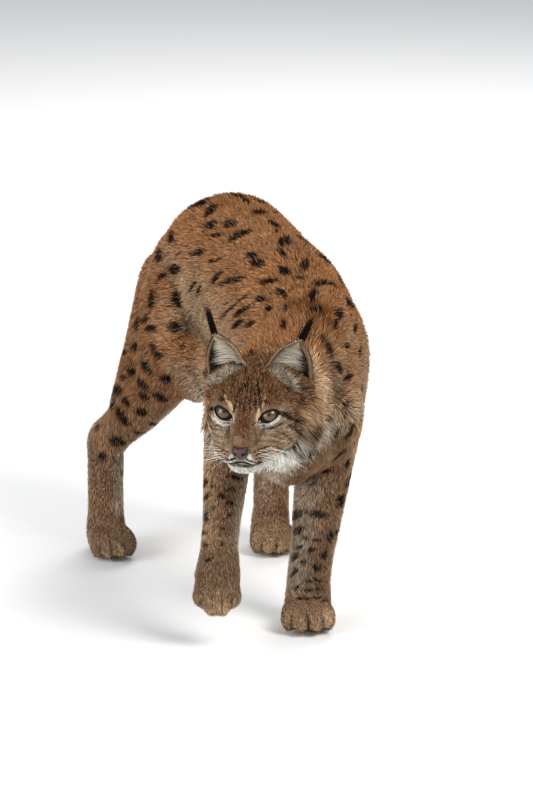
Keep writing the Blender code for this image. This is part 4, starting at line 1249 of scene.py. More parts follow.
def tuft_mesh(name, root, spine, normal, across, width, thick, tints, patches, profile, shades):
    """Tufts as one mesh: spine is (count, rings + 1, 3), and tints the colours below and at the tip."""
    count, rings = len(root), len(profile)
    vertices = np.empty((count, 3 * rings + 2, 3), np.float32)
    colours = np.empty((count, 3 * rings + 2, 3), np.float32)
    vertices[:, 0], vertices[:, -1] = root, spine[:, -1]
    lower, tip = tints[:, 0], tints[:, 1]
    colours[:, 0], colours[:, -1] = lower * shades[0], np.minimum(tip * shades[-1], 1)
    for ring, share in enumerate(profile):
        half, tall = across * (width * share / 2)[:, None], normal * (thick * share)[:, None]
        tint = np.minimum((lower + (tip - lower) * ring / rings) * shades[1 + ring], 1)
        for i, move in enumerate((-half, half, tall)):
            vertices[:, 1 + 3 * ring + i] = spine[:, ring] + move
            colours[:, 1 + 3 * ring + i] = tint
    vertices[:, :, 2] = np.maximum(vertices[:, :, 2], FLOOR_GAP)
    faces = np.array(tuft_faces(rings), np.int32)
    indices = (faces[None] + (np.arange(count) * (3 * rings + 2))[:, None, None]).reshape(-1)
    mesh = bpy.data.meshes.new(name)
    mesh.vertices.add(count * (3 * rings + 2))
    mesh.vertices.foreach_set("co", vertices.ravel())
    mesh.loops.add(len(indices))
    mesh.loops.foreach_set("vertex_index", indices)
    mesh.polygons.add(len(indices) // 3)
    mesh.polygons.foreach_set("loop_start", np.arange(0, len(indices), 3, dtype=np.int32))
    layer = mesh.uv_layers.new(name=MAP)
    start = np.clip(patches, 0.001, 0.999 - PATCH)
    corners = start[:, None] + tuft_patch(rings)[None] * PATCH
    layer.data.foreach_set("uv", corners.astype(np.float32).ravel())
    mesh.update(calc_edges=True)
    mesh.validate()
    mesh.shade_smooth()
    paint_on(mesh, colours.reshape(-1, 3))
    dress(mesh, FUR)
    return mesh


SHORT = ((1.0,), (0.42, 0.86, 1.10))  # the width at each ring, and the brightness at root, rings and tip
LONG = ((0.75, 1.0, 0.62), (0.50, 0.74, 0.96, 1.10))
MOST_TUFTS = 32000  # to a piece

coat_pieces = []


def place_tufts(name, root, along, normal, length, width, rise, tints, patches, form=SHORT, droop=0.0):
    """Tufts that leave the skin, lean over along the lie and end a height rise above it."""
    profile, shades = form
    flat = np.sqrt(np.maximum(0.2 * length ** 2, length ** 2 - rise ** 2))
    levels = [(ring + 1) / (len(profile) + 1) * 0.92 for ring in range(len(profile))] + [1.0]
    spine = []
    for level in levels:
        up = rise * (1 - (1 - level) ** 2)
        spot = root + along * (flat * level)[:, None] + normal * up[:, None]
        spot[:, 2] -= droop * length * level ** 2
        spine.append(spot)
    spine = np.stack(spine, 1)
    across = unit(np.cross(along, normal))
    tints = tints if tints.ndim == 3 else np.repeat(tints[:, None], 2, 1)
    pieces = max(1, -(-len(root) // MOST_TUFTS))
    for number, chosen in enumerate(np.array_split(np.arange(len(root)), pieces)):
        title = name if pieces == 1 else f"{name}_{number + 1}"
        arrays = [a[chosen] for a in (root - normal * ROOT_DEPTH, spine, normal, across, width, width * 0.3)]
        mesh = tuft_mesh(title, *arrays, tints[chosen], patches[chosen], profile, shades)
        coat_pieces.append(new_object(title, mesh))
    print(name, len(root), "tufts in", pieces, "pieces")


# %% [markdown]
# ## Roots on the skin
# The number of tufts at each place follows the table of coats. The roots are spread by stepping evenly
# through the skin's triangles, taken block by block, so that no patch is left bare. No tuft grows on the
# soles, on the edges of the lids or in the mouth.

# %% Choose roots and grow the short coat
TUFTS = 219000
BLOCK = 0.008
MOUTH_STEPS = 40
MOUTH_REACH = 0.0019  # no tuft grows so close to the slit of the mouth
TUFT_TURN, LOCK_TURN = 9, 26  # degrees that a tuft, and its whole lock, turn away from the lie
GUARD_HAIRS = 0.05  # the share of tufts that are longer and thinner, and stand out
SHOWN_AT = (0.45, 0.85)  # how far along a tuft its two colours are asked
random = np.random.default_rng(11)
table = shell.spread(coat_table(shell.places, shares), 6)


def corner_values(values, faces, weights):
    """values of the vertices at places inside triangles, which weights give."""
    return (values[shell.triangles[faces]] * weights[:, :, None]).sum(1)


def inside_lids(side):
    """Which points of the skin are in the socket or at the edges of the lids."""
    centre, turn, _ = almond(side, 0)
    offset = shell.places - np.array(centre)
    away = np.linalg.norm(offset, axis=1)
    facing_in = (shell.normals * offset).sum(1) < 0.2 * away
    across, depth, up = (offset @ np.array(turn)).T
    rise = up / (EYE_OPENING[1] * np.where(up > 0, UPPER_LID, 1.0))
    opening = (np.hypot(across / EYE_OPENING[0], rise) < 1.12) & (depth < 0)
    return (away < EYE_RADIUS + 0.0035) & (opening | facing_in)


bare = (shell.normals[:, 2] < -0.8) & (shell.places[:, 2] < 0.004)
for side in SIDES:
    bare |= inside_lids(side)
forward, left, up = head_places(shell.places).T
inside_mouth = np.zeros(shell.count, bool)
mouth_tree = KDTree(MOUTH_STEPS + 1)
for step in range(MOUTH_STEPS + 1):
    mouth_tree.insert(mouth_place(2 * step / MOUTH_STEPS - 1, -0.2), step)
mouth_tree.balance()
near_mouth = np.nonzero((forward > -0.02) & (up < -0.05) & (up > -0.09))[0]
for vertex in near_mouth:
    inside_mouth[vertex] = mouth_tree.find(shell.places[vertex])[2] < MOUTH_REACH
bare |= inside_mouth

density = table[:, 3].copy()
density[bare] = 0
face_density = density[shell.triangles].mean(1) * (density[shell.triangles].min(1) > 0)
wanted = face_density * areas
blocks = np.floor(shell.places[shell.triangles].mean(1) / BLOCK).astype(int)
order = np.lexsort((blocks[:, 0], blocks[:, 1], blocks[:, 2], main_part[shell.triangles[:, 0]]))
steps = np.cumsum(wanted[order])
picks = (np.arange(TUFTS) + random.random(TUFTS)) * steps[-1] / TUFTS
root_faces = order[np.minimum(np.searchsorted(steps, picks), len(order) - 1)]
first, second = random.random((2, TUFTS))
first, second = np.where(first + second > 1, (1 - first, 1 - second), (first, second))
weights = np.stack([1 - first - second, first, second], 1)

roots = corner_values(shell.places, root_faces, weights)
normals = unit(corner_values(shell.normals, root_faces, weights))
along = unit(corner_values(lie, root_faces, weights))
sizes = corner_values(table, root_faces, weights)
patches = (map_corners[shell.corners[root_faces]] * weights[:, :, None]).sum(1)
base = corner_values(ground, root_faces, weights)
locks = corner_values(clump[:, None], root_faces, weights)[:, 0]
turn = np.radians(random.normal(0, TUFT_TURN, TUFTS) + locks * LOCK_TURN)
along = along * np.cos(turn)[:, None] + np.cross(normals, along) * np.sin(turn)[:, None]
length = sizes[:, 1] * random.uniform(0.75, 1.2, TUFTS)
width = sizes[:, 2] * random.uniform(0.8, 1.25, TUFTS)
rise = sizes[:, 0] * random.uniform(0.55, 1.05, TUFTS)
guard = random.random(TUFTS) < GUARD_HAIRS
length[guard] *= 1.25
rise[guard] *= 1.5
width[guard] *= 0.6
ragged = random.normal(0, 1, TUFTS)
shown = [colours_at(roots + along * (length * share)[:, None], base, ragged) for share in SHOWN_AT]
tints = np.stack(shown, 1)
grizzle = 0.15 + 0.22 * sizes[:, 3] / 80
patchy = np.array([noise(Vector(place) * 22) * 0.18 + noise(Vector(place) * 130) * 0.42 for place in roots])
tints *= np.exp(random.normal(0, grizzle) + patchy)[:, None, None]
frost = random.random(TUFTS) < 0.10 + 0.14 * soft_step(0.30, 0.12, roots[:, 2])
tints[frost] = mixed(tints[frost], PALE, 0.26)
fleck = random.random(TUFTS) < 0.03 + 0.05 * soft_step(25, 34, sizes[:, 3])
tints[fleck] = mixed(tints[fleck], BROWN, 0.55)
parts = main_part[shell.triangles[root_faces, 0]]
on_face = parts == 0
tints[on_face] *= 1 - 0.50 * cheek_waves(roots[on_face] + along[on_face] * 0.003)[:, None, None]
golden = on_face & (random.random(TUFTS) < 0.22)
tints[golden] = mixed(tints[golden], paint(204, 168, 122), 0.30)
REGIONS = {
    "coat_trunk": ["torso"], "coat_neck": ["neck", "tail"], "coat_face": ["head"],
    "coat_forelegs": ["foreleg", "forepaw"], "coat_hind_legs": ["hind_leg", "hind_paw"],
}
grown_on = np.array([sideless(name) for name in FLESH])[parts]
for name, members in REGIONS.items():
    chosen = np.isin(grown_on, members)
    values = [a[chosen] for a in (roots, along, normals, length, width, rise, tints, patches)]
    place_tufts(name, *values)
print("tufts to a square centimetre:", round(TUFTS / areas.sum() / 1e4, 1))

# %% [markdown]
# ## The ruff
# From below each ear round to the throat hang locks of long hair, longest at the corner of the jaw. Their
# roots are found by rays from the middle of the head. They go outwards, back and down, white below and at
# the throat, with a black patch on each side.

# %% Grow the ruff
RUFF_HAIRS = 2300  # tufts to a cheek
RUFF_FORWARD = (-0.088, -0.030)
RUFF_ARC = (20, -90)  # degrees above level, from below the ear round to the throat
RUFF_OUT = {-1: 0.34, 1: 0.46}  # how far the locks stand out to each side
RUFF_PATCHES = [
    # away from the middle, up, half width, half height
    (0.083, -0.088, 0.0150, 0.0200), (0.094, -0.052, 0.0070, 0.0120),
]


def ruff_patch(places):
    """How much of a black patch lies on these places, from 0 to 1."""
    forward, left, up = head_places(places).T
    away = [np.hypot((abs(left) - x) / wide, (up - z) / tall) for x, z, wide, tall in RUFF_PATCHES]
    return soft_step(1.20, 0.90, np.min(away, 0))


def ruff_colours(places, random):
    """Brown above, white below and at the throat, with some dark hair among it."""
    forward, left, up = head_places(places).T
    colours = mixed(paint(140, 106, 76), paint(158, 130, 104), soft_step(0.0, -0.04, up))
    colours = mixed(colours, paint(226, 216, 202), soft_step(-0.045, -0.080, up))
    colours = mixed(colours, WHITE, soft_step(0.070, 0.045, abs(left)) * soft_step(-0.05, -0.08, up))
    dark = (random.random(len(places)) < 0.10) * soft_step(-0.085, -0.05, up)
    return mixed(colours, BROWN, dark * 0.75)


def ruff_roots(side, seed):
    random = np.random.default_rng(seed)
    rows = []
    while len(rows) < RUFF_HAIRS:
        share = random.uniform(0, 1)
        angle = math.radians(RUFF_ARC[0] + (RUFF_ARC[1] - RUFF_ARC[0]) * share)
        forward = random.uniform(*RUFF_FORWARD)
        outward = HEAD @ Vector((side * math.cos(angle), 0, math.sin(angle)))
        place, normal, face, _ = skin_tree.ray_cast(on_head(forward, 0, -0.020), outward)
        if place is None:
            continue
        hang = max(0.0, 1 - abs(share - 0.55) / 0.55)
        wave = noise(place * 60)
        out, droop = RUFF_OUT[side] + 0.16 * wave, 0.60 + 0.10 * noise(place * 60 + Vector((9, 0, 0)))
        way = outward * out - AHEAD * (0.41 + 0.1 * wave) - HEAD @ Vector((0, 0, droop))
        way += Vector(random.normal(0, 0.09, 3))
        length = (0.036 + 0.020 * hang) * random.uniform(0.66, 1.06)
        length *= 0.80 if side < 0 and share < 0.5 else 1.0
        rows.append((*place, *normal, *way.normalized(), length, face, share))
    return np.array(rows)


for side, word in SIDES.items():
    rows = ruff_roots(side, 21 + side)
    place, normal, way, long_hair = rows[:, :3], rows[:, 3:6], rows[:, 6:9], rows[:, 9]
    count = len(rows)
    faces = rows[:, 10].astype(int)
    stand = np.clip((way * normal).sum(1), 0.12, 0.62)
    along = into_surface(way, normal)
    middle = place + way * (long_hair * 0.5)[:, None]
    ruff, ragged = ruff_colours(middle, random), random.normal(0, 1, count)
    spots = [place + way * (long_hair * share)[:, None] for share in SHOWN_AT]
    tints = [colours_at(spot, ruff, ragged) for spot in spots]
    high = soft_step(-0.09, -0.03, head_places(middle)[:, 2])
    tints[1] = mixed(tints[1], paint(224, 188, 146), 0.45 * high)
    tints = [mixed(tint, BLACK, ruff_patch(spot)) for tint, spot in zip(tints, spots)]
    tints = np.stack(tints, 1) * np.exp(random.normal(0, 0.12, count))[:, None, None]
    patches = map_corners[shell.corners[faces]].mean(1)
    wide = random.uniform(0.0013, 0.0023, count)
    sizes = long_hair, wide, long_hair * stand
    place_tufts(f"coat_ruff_{word}", place, along, normal, *sizes, tints, patches, LONG, 0.05)

# %% [markdown]
# ## The ears
# Each ear is a cup that stands upright and opens forward. The back is black with a pale patch, the rim is
# buff, and long pale hair grows across the hollow from the inner edge. A pencil of black hair, five
# centimetres long, stands on the tip.

# %% Shells of the ears
EAR_LOW, EAR_HIGH = -0.30, 0.965
EAR_THICKNESS = 0.0022
TUFT_LENGTH = 0.049
TUFT_LEAN = {-1: -0.32, 1: 0.56}  # sideways, to each metre upwards


def ear_place(side, across, height):
    """A place on the ear's cup: across from -1, the inner edge, to 1; height from 0, the base, to 1."""
    up_ear = max(0.0, height)
    bulge = 0.006 * math.sin(math.pi * min(1.0, up_ear))
    tip = (-0.064, 0.068, 0.102)
    inner = [a + (b - a) * up_ear for a, b in zip((-0.052, 0.020, 0.062), tip)]
    outer = [a + (b - a) * up_ear for a, b in zip((-0.074, 0.081, 0.028), tip)]
    inner[1], inner[2] = inner[1] - bulge * 0.5, inner[2] + bulge
    outer[1] += bulge * 1.2
    depth = 0.030 * (1 - min(1.0, up_ear)) ** 0.8 + 0.002
    reach, hollow = math.sin(across * math.pi / 2), math.cos(across * math.pi / 2) * depth
    forward, left, up = [(a + b) / 2 + (b - a) / 2 * reach for a, b in zip(inner, outer)]
    sunk = min(0.0, height)
    left, up = left + hollow * 0.10 + sunk * 0.09, up + hollow * 0.15 + sunk * 0.10
    return on_head(forward - hollow, side * left, up)


def ear_axes(side, across, height):
    """The way up the ear, the way across it, and the way out of its back."""
    upward = ear_place(side, across, height + 0.02) - ear_place(side, across, height - 0.02)
    sideways = ear_place(side, across + 0.04, height) - ear_place(side, across - 0.04, height)
    upward, sideways = upward.normalized(), sideways.normalized()
    out = sideways.cross(upward).normalized() * side
    if out.dot(AHEAD) > 0:
        out = -out
    return upward, sideways, out


EAR_LINING = paint(104, 84, 72)
EAR_DARK = paint(50, 42, 38)
EAR_GREY = paint(170, 158, 140)
EAR_RIM = paint(186, 154, 118)


def ear_shell(side):
    bm = bmesh.new()
    bmesh.ops.create_grid(bm, x_segments=26, y_segments=26, size=1)
    for vert in bm.verts:
        height = EAR_LOW + (EAR_HIGH - EAR_LOW) * (vert.co.y + 1) / 2
        vert.co = ear_place(side, vert.co.x, height)
    if side < 0:
        bmesh.ops.reverse_faces(bm, faces=bm.faces)
    obj = from_bmesh(f"ear_shell_{SIDES[side]}", bm)
    thicken = obj.modifiers.new("thicken", "SOLIDIFY")
    thicken.thickness = EAR_THICKNESS
    thicken.offset = 0
    apply_modifiers(obj)
    obj.data.shade_smooth()
    facing = Mesh(obj.data).normals @ np.array(AHEAD)
    back = mixed(EAR_DARK, EAR_LINING, soft_step(-0.1, 0.3, facing))
    back = mixed(back, EAR_RIM, soft_step(0.6, 0.3, abs(facing)) * 0.8)
    paint_on(obj.data, back)
    dress(obj.data, FUR)
    return obj


def ear_rows(side, count, seed, pick):
    """Rows for hair on an ear: pick gives the place, way, normal, sizes and tint of each tuft."""
    random = np.random.default_rng(seed)
    rows = []
    for _ in range(count):
        across, height, way, normal, length, width, rise, tint = pick(random)
        place = ear_place(side, across, height) + normal * (EAR_THICKNESS / 2)
        rows.append((*place, *way.normalized(), *normal, length, width, rise, *tint, across, height))
    return np.array(rows)


def ear_hair(name, rows, form):
    place, way, normal = rows[:, :3], rows[:, 3:6], rows[:, 6:9]
    normal = unit(normal - way * (normal * way).sum(1, keepdims=True))
    length, width, rise, tints = rows[:, 9], rows[:, 10], rows[:, 11], rows[:, 12:15]
    patches = np.stack([rows[:, 15] * 0.48 + 0.5, (rows[:, 16] - EAR_LOW) / (1.3 - EAR_LOW)], 1)
    place_tufts(name, place, way, normal, length, width, rise, tints, patches, form)


def on_the_back(side):
    def pick(random):
        across, height = random.uniform(-1, 1), random.uniform(EAR_LOW, 0.97)
        upward, sideways, out = ear_axes(side, across, height)
        way = upward + sideways * (0.35 * across + random.normal(0, 0.15))
        pale = math.exp(-((across / 0.55) ** 2) - ((height - 0.38) / 0.22) ** 2)
        tint = mixed(mixed(EAR_DARK, BROWN, 0.25 + 0.3 * random.random()), EAR_GREY, 0.85 * pale)
        tint = mixed(tint, EAR_RIM, 0.75 * float(soft_step(0.78, 0.96, abs(across))))
        if height < 0.06:
            tint = mixed(tint, CROWN, 0.8)
        size = 0.0085 - 0.0025 * max(0, height)
        return across, height, way, out, size * random.uniform(0.8, 1.2), 0.0012, 0.0018, tint
    return pick


def on_the_rim(side):
    def pick(random):
        edge = random.choice((-1, 1))
        height = random.uniform(-0.05, 0.97)
        upward, sideways, out = ear_axes(side, edge * 0.97, height)
        way = upward + sideways * edge * random.uniform(0.15, 0.45) - out * random.uniform(0, 0.3)
        tint = mixed(EAR_RIM, DARK, (0.30 if height < 0.6 else 0.15) * random.uniform(0.0, 1.2))
        return edge * 0.97, height, way, out, 0.0075 * random.uniform(0.7, 1.2), 0.0010, 0.0006, tint
    return pick


def in_the_hollow(side):
    def pick(random):
        inner = random.random() < 0.78
        across = random.uniform(-0.98, -0.62) if inner else random.uniform(0.45, 0.95)
        height = random.uniform(-0.02, 0.86) if inner else random.uniform(-0.05, 0.45)
        out = ear_axes(side, across, height)[2]
        reach = random.uniform(0.5, 1.45) if inner else -random.uniform(0.3, 0.7)
        rise = random.uniform(0.05, 0.28) * (1 - 0.4 * max(0.0, height))
        goal = ear_place(side, across + reach, min(0.96, height + rise))
        goal += AHEAD * random.uniform(0.003, 0.010)
        way = goal - ear_place(side, across, height)
        pale = paint(218, 207, 188) if inner else paint(96, 84, 76)
        tint = mixed(pale, EAR_DARK, random.random() ** 2 * 0.6)
        return across, height, way, -out, way.length * random.uniform(0.75, 1.0), 0.0011, 0.0016, tint
    return pick


def on_the_lining(side):
    def pick(random):
        across, height = random.uniform(-0.95, 0.95), random.uniform(-0.1, 0.95)
        upward, sideways, out = ear_axes(side, across, height)
        deep = float(soft_step(-0.4, 0.1, across)) * float(soft_step(0.80, 0.45, height))
        tint = mixed(EAR_GREY, EAR_DARK, 0.15 + 0.8 * deep * random.uniform(0.75, 1))
        way = upward - out * 0.35 + sideways * random.normal(0, 0.2)
        return across, height, way, -out, 0.0060 * random.uniform(0.7, 1.2), 0.0011, 0.0012, tint
    return pick


def tip_tuft(side):
    """The black pencil: hair from both edges near the tip that meets in a point."""
    random = np.random.default_rng(70 + side)
    tip = ear_place(side, 0, 1)
    point = tip + HEAD @ Vector((TUFT_LEAN[side], 0.07, 1)).normalized() * TUFT_LENGTH
    rows = []
    for _ in range(150):
        across, height = random.uniform(-1, 1), random.uniform(0.86, 0.985)
        place = ear_place(side, across, height)
        reach = random.uniform(0.35, 1.0) ** 0.8
        goal = place.lerp(point, reach) + Vector(random.normal(0, 0.0008 + 0.0030 * reach ** 2, 3))
        way = goal - place
        normal = Vector(unit(np.cross(np.array(way), np.array(HEAD @ Vector((1, 0, 0))))))
        tint = mixed(BLACK, BROWN, 0.35 * random.random() * (1 - reach))
        rows.append((*place, *way.normalized(), *normal, way.length, 0.0011, 0.0006, *tint, across, height))
    return np.array(rows)


EAR_COATS = [
    # name, number of tufts, seed, how a tuft is picked, and its form
    ("back", 2600, 31, on_the_back, SHORT), ("rim", 1000, 41, on_the_rim, SHORT),
    ("lining", 1500, 45, on_the_lining, SHORT), ("hollow", 620, 51, in_the_hollow, LONG),
]
ear_pieces = {}
for side, word in SIDES.items():
    first = len(coat_pieces)
    shell_piece = ear_shell(side)
    for title, count, seed, pick, form in EAR_COATS:
        ear_hair(f"coat_ear_{title}_{word}", ear_rows(side, count, seed + side, pick(side)), form)
    ear_hair(f"coat_ear_tuft_{word}", tip_tuft(side), LONG)
    ear_pieces[word] = [shell_piece] + coat_pieces[first:]
print("ear pieces", [piece.name for piece in ear_pieces["left"]])

# %% [markdown]
# ## The eyes
# The eyeballs are wet and clear-coated. The iris is olive amber with a dark ring round it and a small
# round pupil. Where it sits on the ball is read from the picture: the ray through the middle of each
# pupil meets the ball there. A flat map with its middle at the pupil carries the rings.

# %% Eyeballs and their material
GAZES = {-1: (224.0, 411.8), 1: (269.2, 414.8)}
IRIS = 0.62  # the radius of the iris as a share of the eyeball's
PUPIL = 0.115


def gaze_turn(side):
    """The turn whose -Y goes from the eye's centre through the pupil."""
    centre, turn = eye_frame(side)
    look = sight(*GAZES[side])
    start = Vector(camera.location) - centre
    middle = start.dot(look)
    travel = -middle - math.sqrt(max(0.0, middle ** 2 - start.length_squared + EYE_RADIUS ** 2))
    way = (start + look * travel).normalized()
    return centre, way.to_track_quat("-Y", "Z").to_matrix(), way


def eyeball(side):
    centre, turn, way = gaze_turn(side)
    ahead = eye_frame(side)[1] @ Vector((0, -1, 0))
    bm = bmesh.new()
    bmesh.ops.create_icosphere(bm, subdivisions=5, radius=EYE_RADIUS)
    layer = bm.loops.layers.uv.new("rings")
    for vert in bm.verts:
        towards = max(0.0, vert.co.normalized().dot(ahead) - 0.72) / 0.28
        vert.co += ahead * (BULGE * towards)
    for face in bm.faces:
        face.smooth = True
        for loop in face.loops:
            flat = turn.transposed() @ loop.vert.co / EYE_RADIUS
            away = 0.0 if flat.y < 0 else 3.0
            loop[layer].uv = (flat.x + away, flat.z + away)
    bmesh.ops.translate(bm, verts=bm.verts, vec=centre)
    return from_bmesh(f"eyeball_{SIDES[side]}", bm)


def eye_material():
    gloss = {"coat_weight": 0.35, "coat_roughness": 0.03, "specular_ior_level": 0.25}
    made, shader, start = material("eye", 0.12, **gloss)
    uv = start.node("UVMap", 0, uv_map="rings")
    radius = uv.node("VectorMath", "Value", uv, operation="LENGTH")
    parts = uv.node("SeparateXYZ", 0, uv), uv.node("SeparateXYZ", 1, uv)
    angle = parts[1].math("ARCTAN2", parts[1], parts[0])
    spokes = angle.node("CombineXYZ", 0, angle * 9.0, radius * 3.0, 0.0)
    fibres = spokes.noise(1.6, 3.0)
    light, dark = (*paint(96, 78, 48), 1), (*paint(56, 45, 29), 1)
    amber = fibres.node("Mix", 0, fibres.step(0.35, 0.65), light, dark, data_type="RGBA")
    amber = amber.mix((*paint(80, 54, 34), 1), radius.step(0.34, 0.14) * 0.7)
    amber = amber.mix((*paint(40, 32, 22), 1), radius.step(0.53, 0.61) * 0.9)
    amber = amber.mix((*paint(24, 18, 15), 1), radius.step(IRIS - 0.015, IRIS + 0.02))
    amber = amber.mix((*paint(5, 4, 4), 1), radius.step(PUPIL + 0.012, PUPIL - 0.012))
    connect(start.tree, amber, shader.inputs["Base Color"])
    return made


EYE = eye_material()
eyeballs = {side: eyeball(side) for side in SIDES}
for side, obj in eyeballs.items():
    dress(obj.data, EYE)
print("eyes look", [[round(c, 2) for c in gaze_turn(side)[2]] for side in SIDES])

# %% [markdown]
# ## Lids, lips and whiskers
# The rims of the lids are black and hairless, and they run on into a tear duct at the inner corner. Dark
# lips line the mouth. These are tubes that are swept along a path and change their thickness on the way.
# The whiskers are tapered tubes too: white, thin and slightly curved.

# %% Sweep tubes


def tube(bm, path, radii, sides=6, flatten=1.0, upright=Vector((0, 0, 1)), closed=False):
    """Adds a tube along the path to bm."""
    count = len(path)
    rings = []
    for number, (place, radius) in enumerate(zip(path, radii)):
        before = path[(number - 1) % count] if closed or number else place
        after = path[(number + 1) % count] if closed or number < count - 1 else place
        along = (after - before).normalized()
        across = along.cross(upright).normalized()
        up = across.cross(along)
        ring = []
        for step in range(sides):
            angle = step * 2 * math.pi / sides
            aside = across * math.cos(angle) + up * math.sin(angle) * flatten
            ring.append(bm.verts.new(place + aside * radius))
        rings.append(ring)
    for number in range(count if closed else count - 1):
        low, high = rings[number], rings[(number + 1) % count]
        for step in range(sides):
            other = (step + 1) % sides
            bm.faces.new((low[step], low[other], high[other], high[step])).smooth = True
    if not closed:
        bm.faces.new(rings[0][::-1])
        bm.faces.new(rings[-1])


def bare_skin(name, colour, roughness):
    """Dark hairless skin with a fine grain."""
    made, shader, start = material(name, roughness, specular_ior_level=0.08)
    grain = start.noise(1400.0, 3.0)
    lighter = tuple(min(1.0, c * 2.1) for c in colour)
    tint = grain.node("Mix", 0, grain.step(0.3, 0.75) * 0.5, (*colour, 1), (*lighter, 1), data_type="RGBA")
    connect(start.tree, tint, shader.inputs["Base Color"])
    bump(start, shader, grain, 0.4, 0.0003)
    return made


RIM = bare_skin("lid_rim", paint(19, 14, 12), 0.6)
RIM_STEPS = 60
SEAM_STEPS = 72  # along the edge of the upper lip
WHISKER_STEPS = 10


def lid_rim(side):
    """The edge of both lids, which runs on into the tear duct."""
    path, radii = [], []
    inner = math.pi if side > 0 else 0.0
    for step in range(RIM_STEPS):
        angle = step * 2 * math.pi / RIM_STEPS
        centre, turn, place = almond(side, angle / (2 * math.pi))
        to_inner = max(0.0, math.cos(angle - inner)) ** 8
        x, z = place.x * (1.03 + 0.26 * to_inner), place.z * 1.03 - 0.0016 * to_inner
        start = centre + turn @ Vector((x, -0.05, z))
        hit = skin_tree.ray_cast(start, turn @ Vector((0, 1, 0)))[0]
        out = -math.sqrt(max(1e-8, (EYE_RADIUS + 0.0006) ** 2 - x * x - z * z))
        if hit is not None:
            out = min(out, (turn.transposed() @ (hit - centre)).y)
        path.append(centre + turn @ Vector((x, out, z)))
        radii.append(0.00080 + 0.00070 * max(0.0, math.sin(angle)) + 0.0003 * to_inner)
    for _ in range(3):
        path = [(path[i - 1] + path[i] * 2 + path[(i + 1) % RIM_STEPS]) / 4 for i in range(RIM_STEPS)]
    bm = bmesh.new()
    tube(bm, path, radii, 8, upright=eye_frame(side)[1] @ Vector((0, -1, 0)), closed=True)
    bmesh.ops.recalc_face_normals(bm, faces=bm.faces)
    obj = from_bmesh(f"lid_rim_{SIDES[side]}", bm)
    dress(obj.data, RIM)
    return obj


def lips():
    """A dark line on the edge of the upper lip, from corner to corner."""
    bm = bmesh.new()
    path, radii = [], []
    for step in range(SEAM_STEPS + 1):
        t = 2 * step / SEAM_STEPS - 1
        start = mouth_place(t, -0.6)
        goal = mouth_place(t, 1.0)
        way = (goal - start).normalized()
        hit = skin_tree.ray_cast(goal + way * 0.02 + Vector((0, 0, 0.0012)), start - goal)[0]
        hit = hit if hit is not None else mouth_place(t, 0.0)
        path.append(hit + way * 0.0006)
        radii.append(0.0006 + 0.0013 * (1 - abs(t) ** 3))
    for _ in range(3):
        path = [path[0]] + [(a + b * 2 + c) / 4 for a, b, c in zip(path, path[1:], path[2:])] + [path[-1]]
    tube(bm, path, radii, 8, 0.7)
    bmesh.ops.recalc_face_normals(bm, faces=bm.faces)
    obj = from_bmesh("lips", bm)
    dress(obj.data, RIM)
    return obj


def whiskers():
    bm = bmesh.new()
    random = np.random.default_rng(61)
    out = {side: HEAD @ Vector((side, 0, 0)) for side in SIDES}
    for place, normal, side, share in whisker_roots:
        length = (0.038 + 0.036 * share) * random.uniform(0.75, 1.1)
        way = out[side] * 1.0 + AHEAD * random.uniform(-0.05, 0.30) + normal * 0.35
        way += HEAD @ Vector((0, 0, random.uniform(-0.42, 0.05)))
        way.normalize()
        path, radii = [], []
        for step in range(WHISKER_STEPS + 1):
            t = step / WHISKER_STEPS
            sag = Vector((0, 0, -1)) * (0.16 * length * t * t) - AHEAD * (0.12 * length * t * t)
            path.append(place - normal * 0.001 + way * (length * t) + sag)
            radii.append(0.00020 * (1 - t) ** 0.7 + 0.00004)
        tube(bm, path, radii, 4)
    bmesh.ops.recalc_face_normals(bm, faces=bm.faces)
    obj = from_bmesh("whiskers", bm)
    made, shader, start = material("whisker", 0.35, specular_ior_level=0.4)
    grain = start.noise(700.0)
    tint = grain.node("Mix", 0, grain, (0.85, 0.83, 0.78, 1), (0.7, 0.66, 0.6, 1), data_type="RGBA")
    connect(start.tree, tint, shader.inputs["Base Color"])
    dress(obj.data, made)
    return obj


rims = {side: lid_rim(side) for side in SIDES}
mouth = lips()
whisker_piece = whiskers()
print("whiskers:", len(whisker_piece.data.polygons), "faces")

# %% [markdown]
# ## The nose
# The leather of the nose is pinkish brown, and dark along its upper edge and in the two slanting
# nostrils. It has fine cobbles all over.

# %% Nose leather


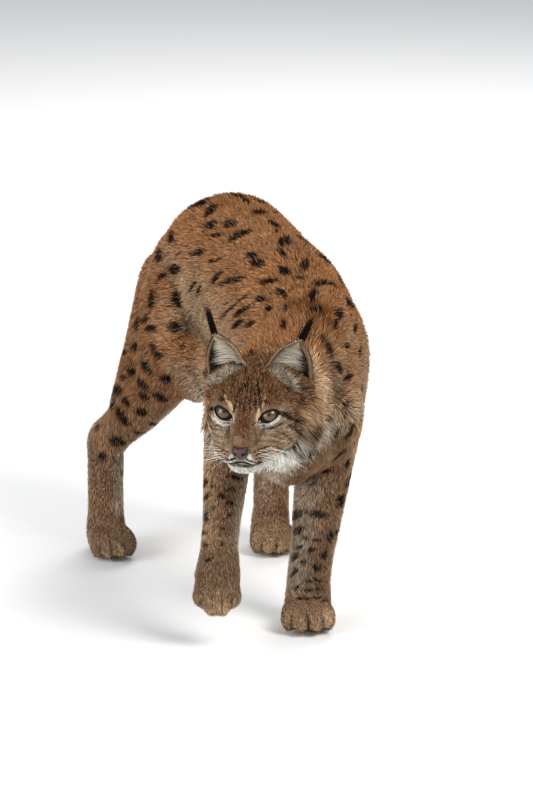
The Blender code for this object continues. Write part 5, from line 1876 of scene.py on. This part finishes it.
def nose_piece():
    obj = nose_block(0.0, 0.0005, 9000)
    for side in SIDES:
        cut = bmesh.new()
        turn = HEAD @ Euler((0, math.radians(side * 35), math.radians(side * 20))).to_matrix()
        ball(cut, on_head(0.0565, side * 0.0062, -0.0482), (0.0020, 0.0050, 0.0030), turn, 4)
        boolean(obj, from_bmesh("nostril", cut), "DIFFERENCE")
    obj.name = "nose_leather"
    obj.data.shade_smooth()
    data = Mesh(obj.data)
    forward, left, up = head_places(data.places).T
    edge = soft_step(0.0065, 0.0105, abs(left)) + soft_step(-0.0415, -0.0385, up)
    colours = mixed(paint(74, 50, 42), paint(26, 18, 16), np.clip(edge, 0, 1) * 0.85)
    hole = np.zeros(data.count)
    for side in SIDES:
        from_hole = np.linalg.norm(data.places - np.array(on_head(0.0560, side * 0.0066, -0.0484)), axis=1)
        hole = np.maximum(hole, soft_step(0.0042, 0.0022, from_hole))
    colours = mixed(colours, paint(14, 9, 9), hole)
    groove = soft_step(0.0009, 0.0003, abs(left)) * soft_step(-0.046, -0.050, up)
    colours = mixed(colours, paint(40, 26, 24), groove * 0.8)
    paint_on(obj.data, colours)
    gloss = {"coat_weight": 0.06, "coat_roughness": 0.35, "specular_ior_level": 0.3}
    made, shader, start = material("nose_leather", 0.5, **gloss)
    cobbles = start.node("TexVoronoi", 0, start, 1000.0, feature="SMOOTH_F1")
    connect(start.tree, painted(start).mix((0.02, 0.012, 0.01, 1), cobbles.step(0.35, 0.8) * 0.5),
            shader.inputs["Base Color"])
    bump(start, shader, cobbles, 0.8, 0.0006)
    dress(obj.data, made)
    return obj


nose = nose_piece()
print("nose:", len(nose.data.polygons), "faces")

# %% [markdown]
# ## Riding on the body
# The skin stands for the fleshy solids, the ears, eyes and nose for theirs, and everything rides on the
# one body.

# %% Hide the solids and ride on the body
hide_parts(*FLESH)
for word, pieces in ear_pieces.items():
    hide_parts(f"ear_{word}")
for side, obj in eyeballs.items():
    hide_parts("eye_left" if side > 0 else "eye_right")
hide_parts("nose")
in_ears = [piece for pieces in ear_pieces.values() for piece in pieces]
for piece in [*coat_pieces, whisker_piece, *rims.values(), mouth]:
    piece not in in_ears
for piece in [skin, nose, mouth, whisker_piece, *eyeballs.values(), *rims.values(), *coat_pieces]:
    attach(piece, "root")
for pieces in ear_pieces.values():
    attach(pieces[0], "root")
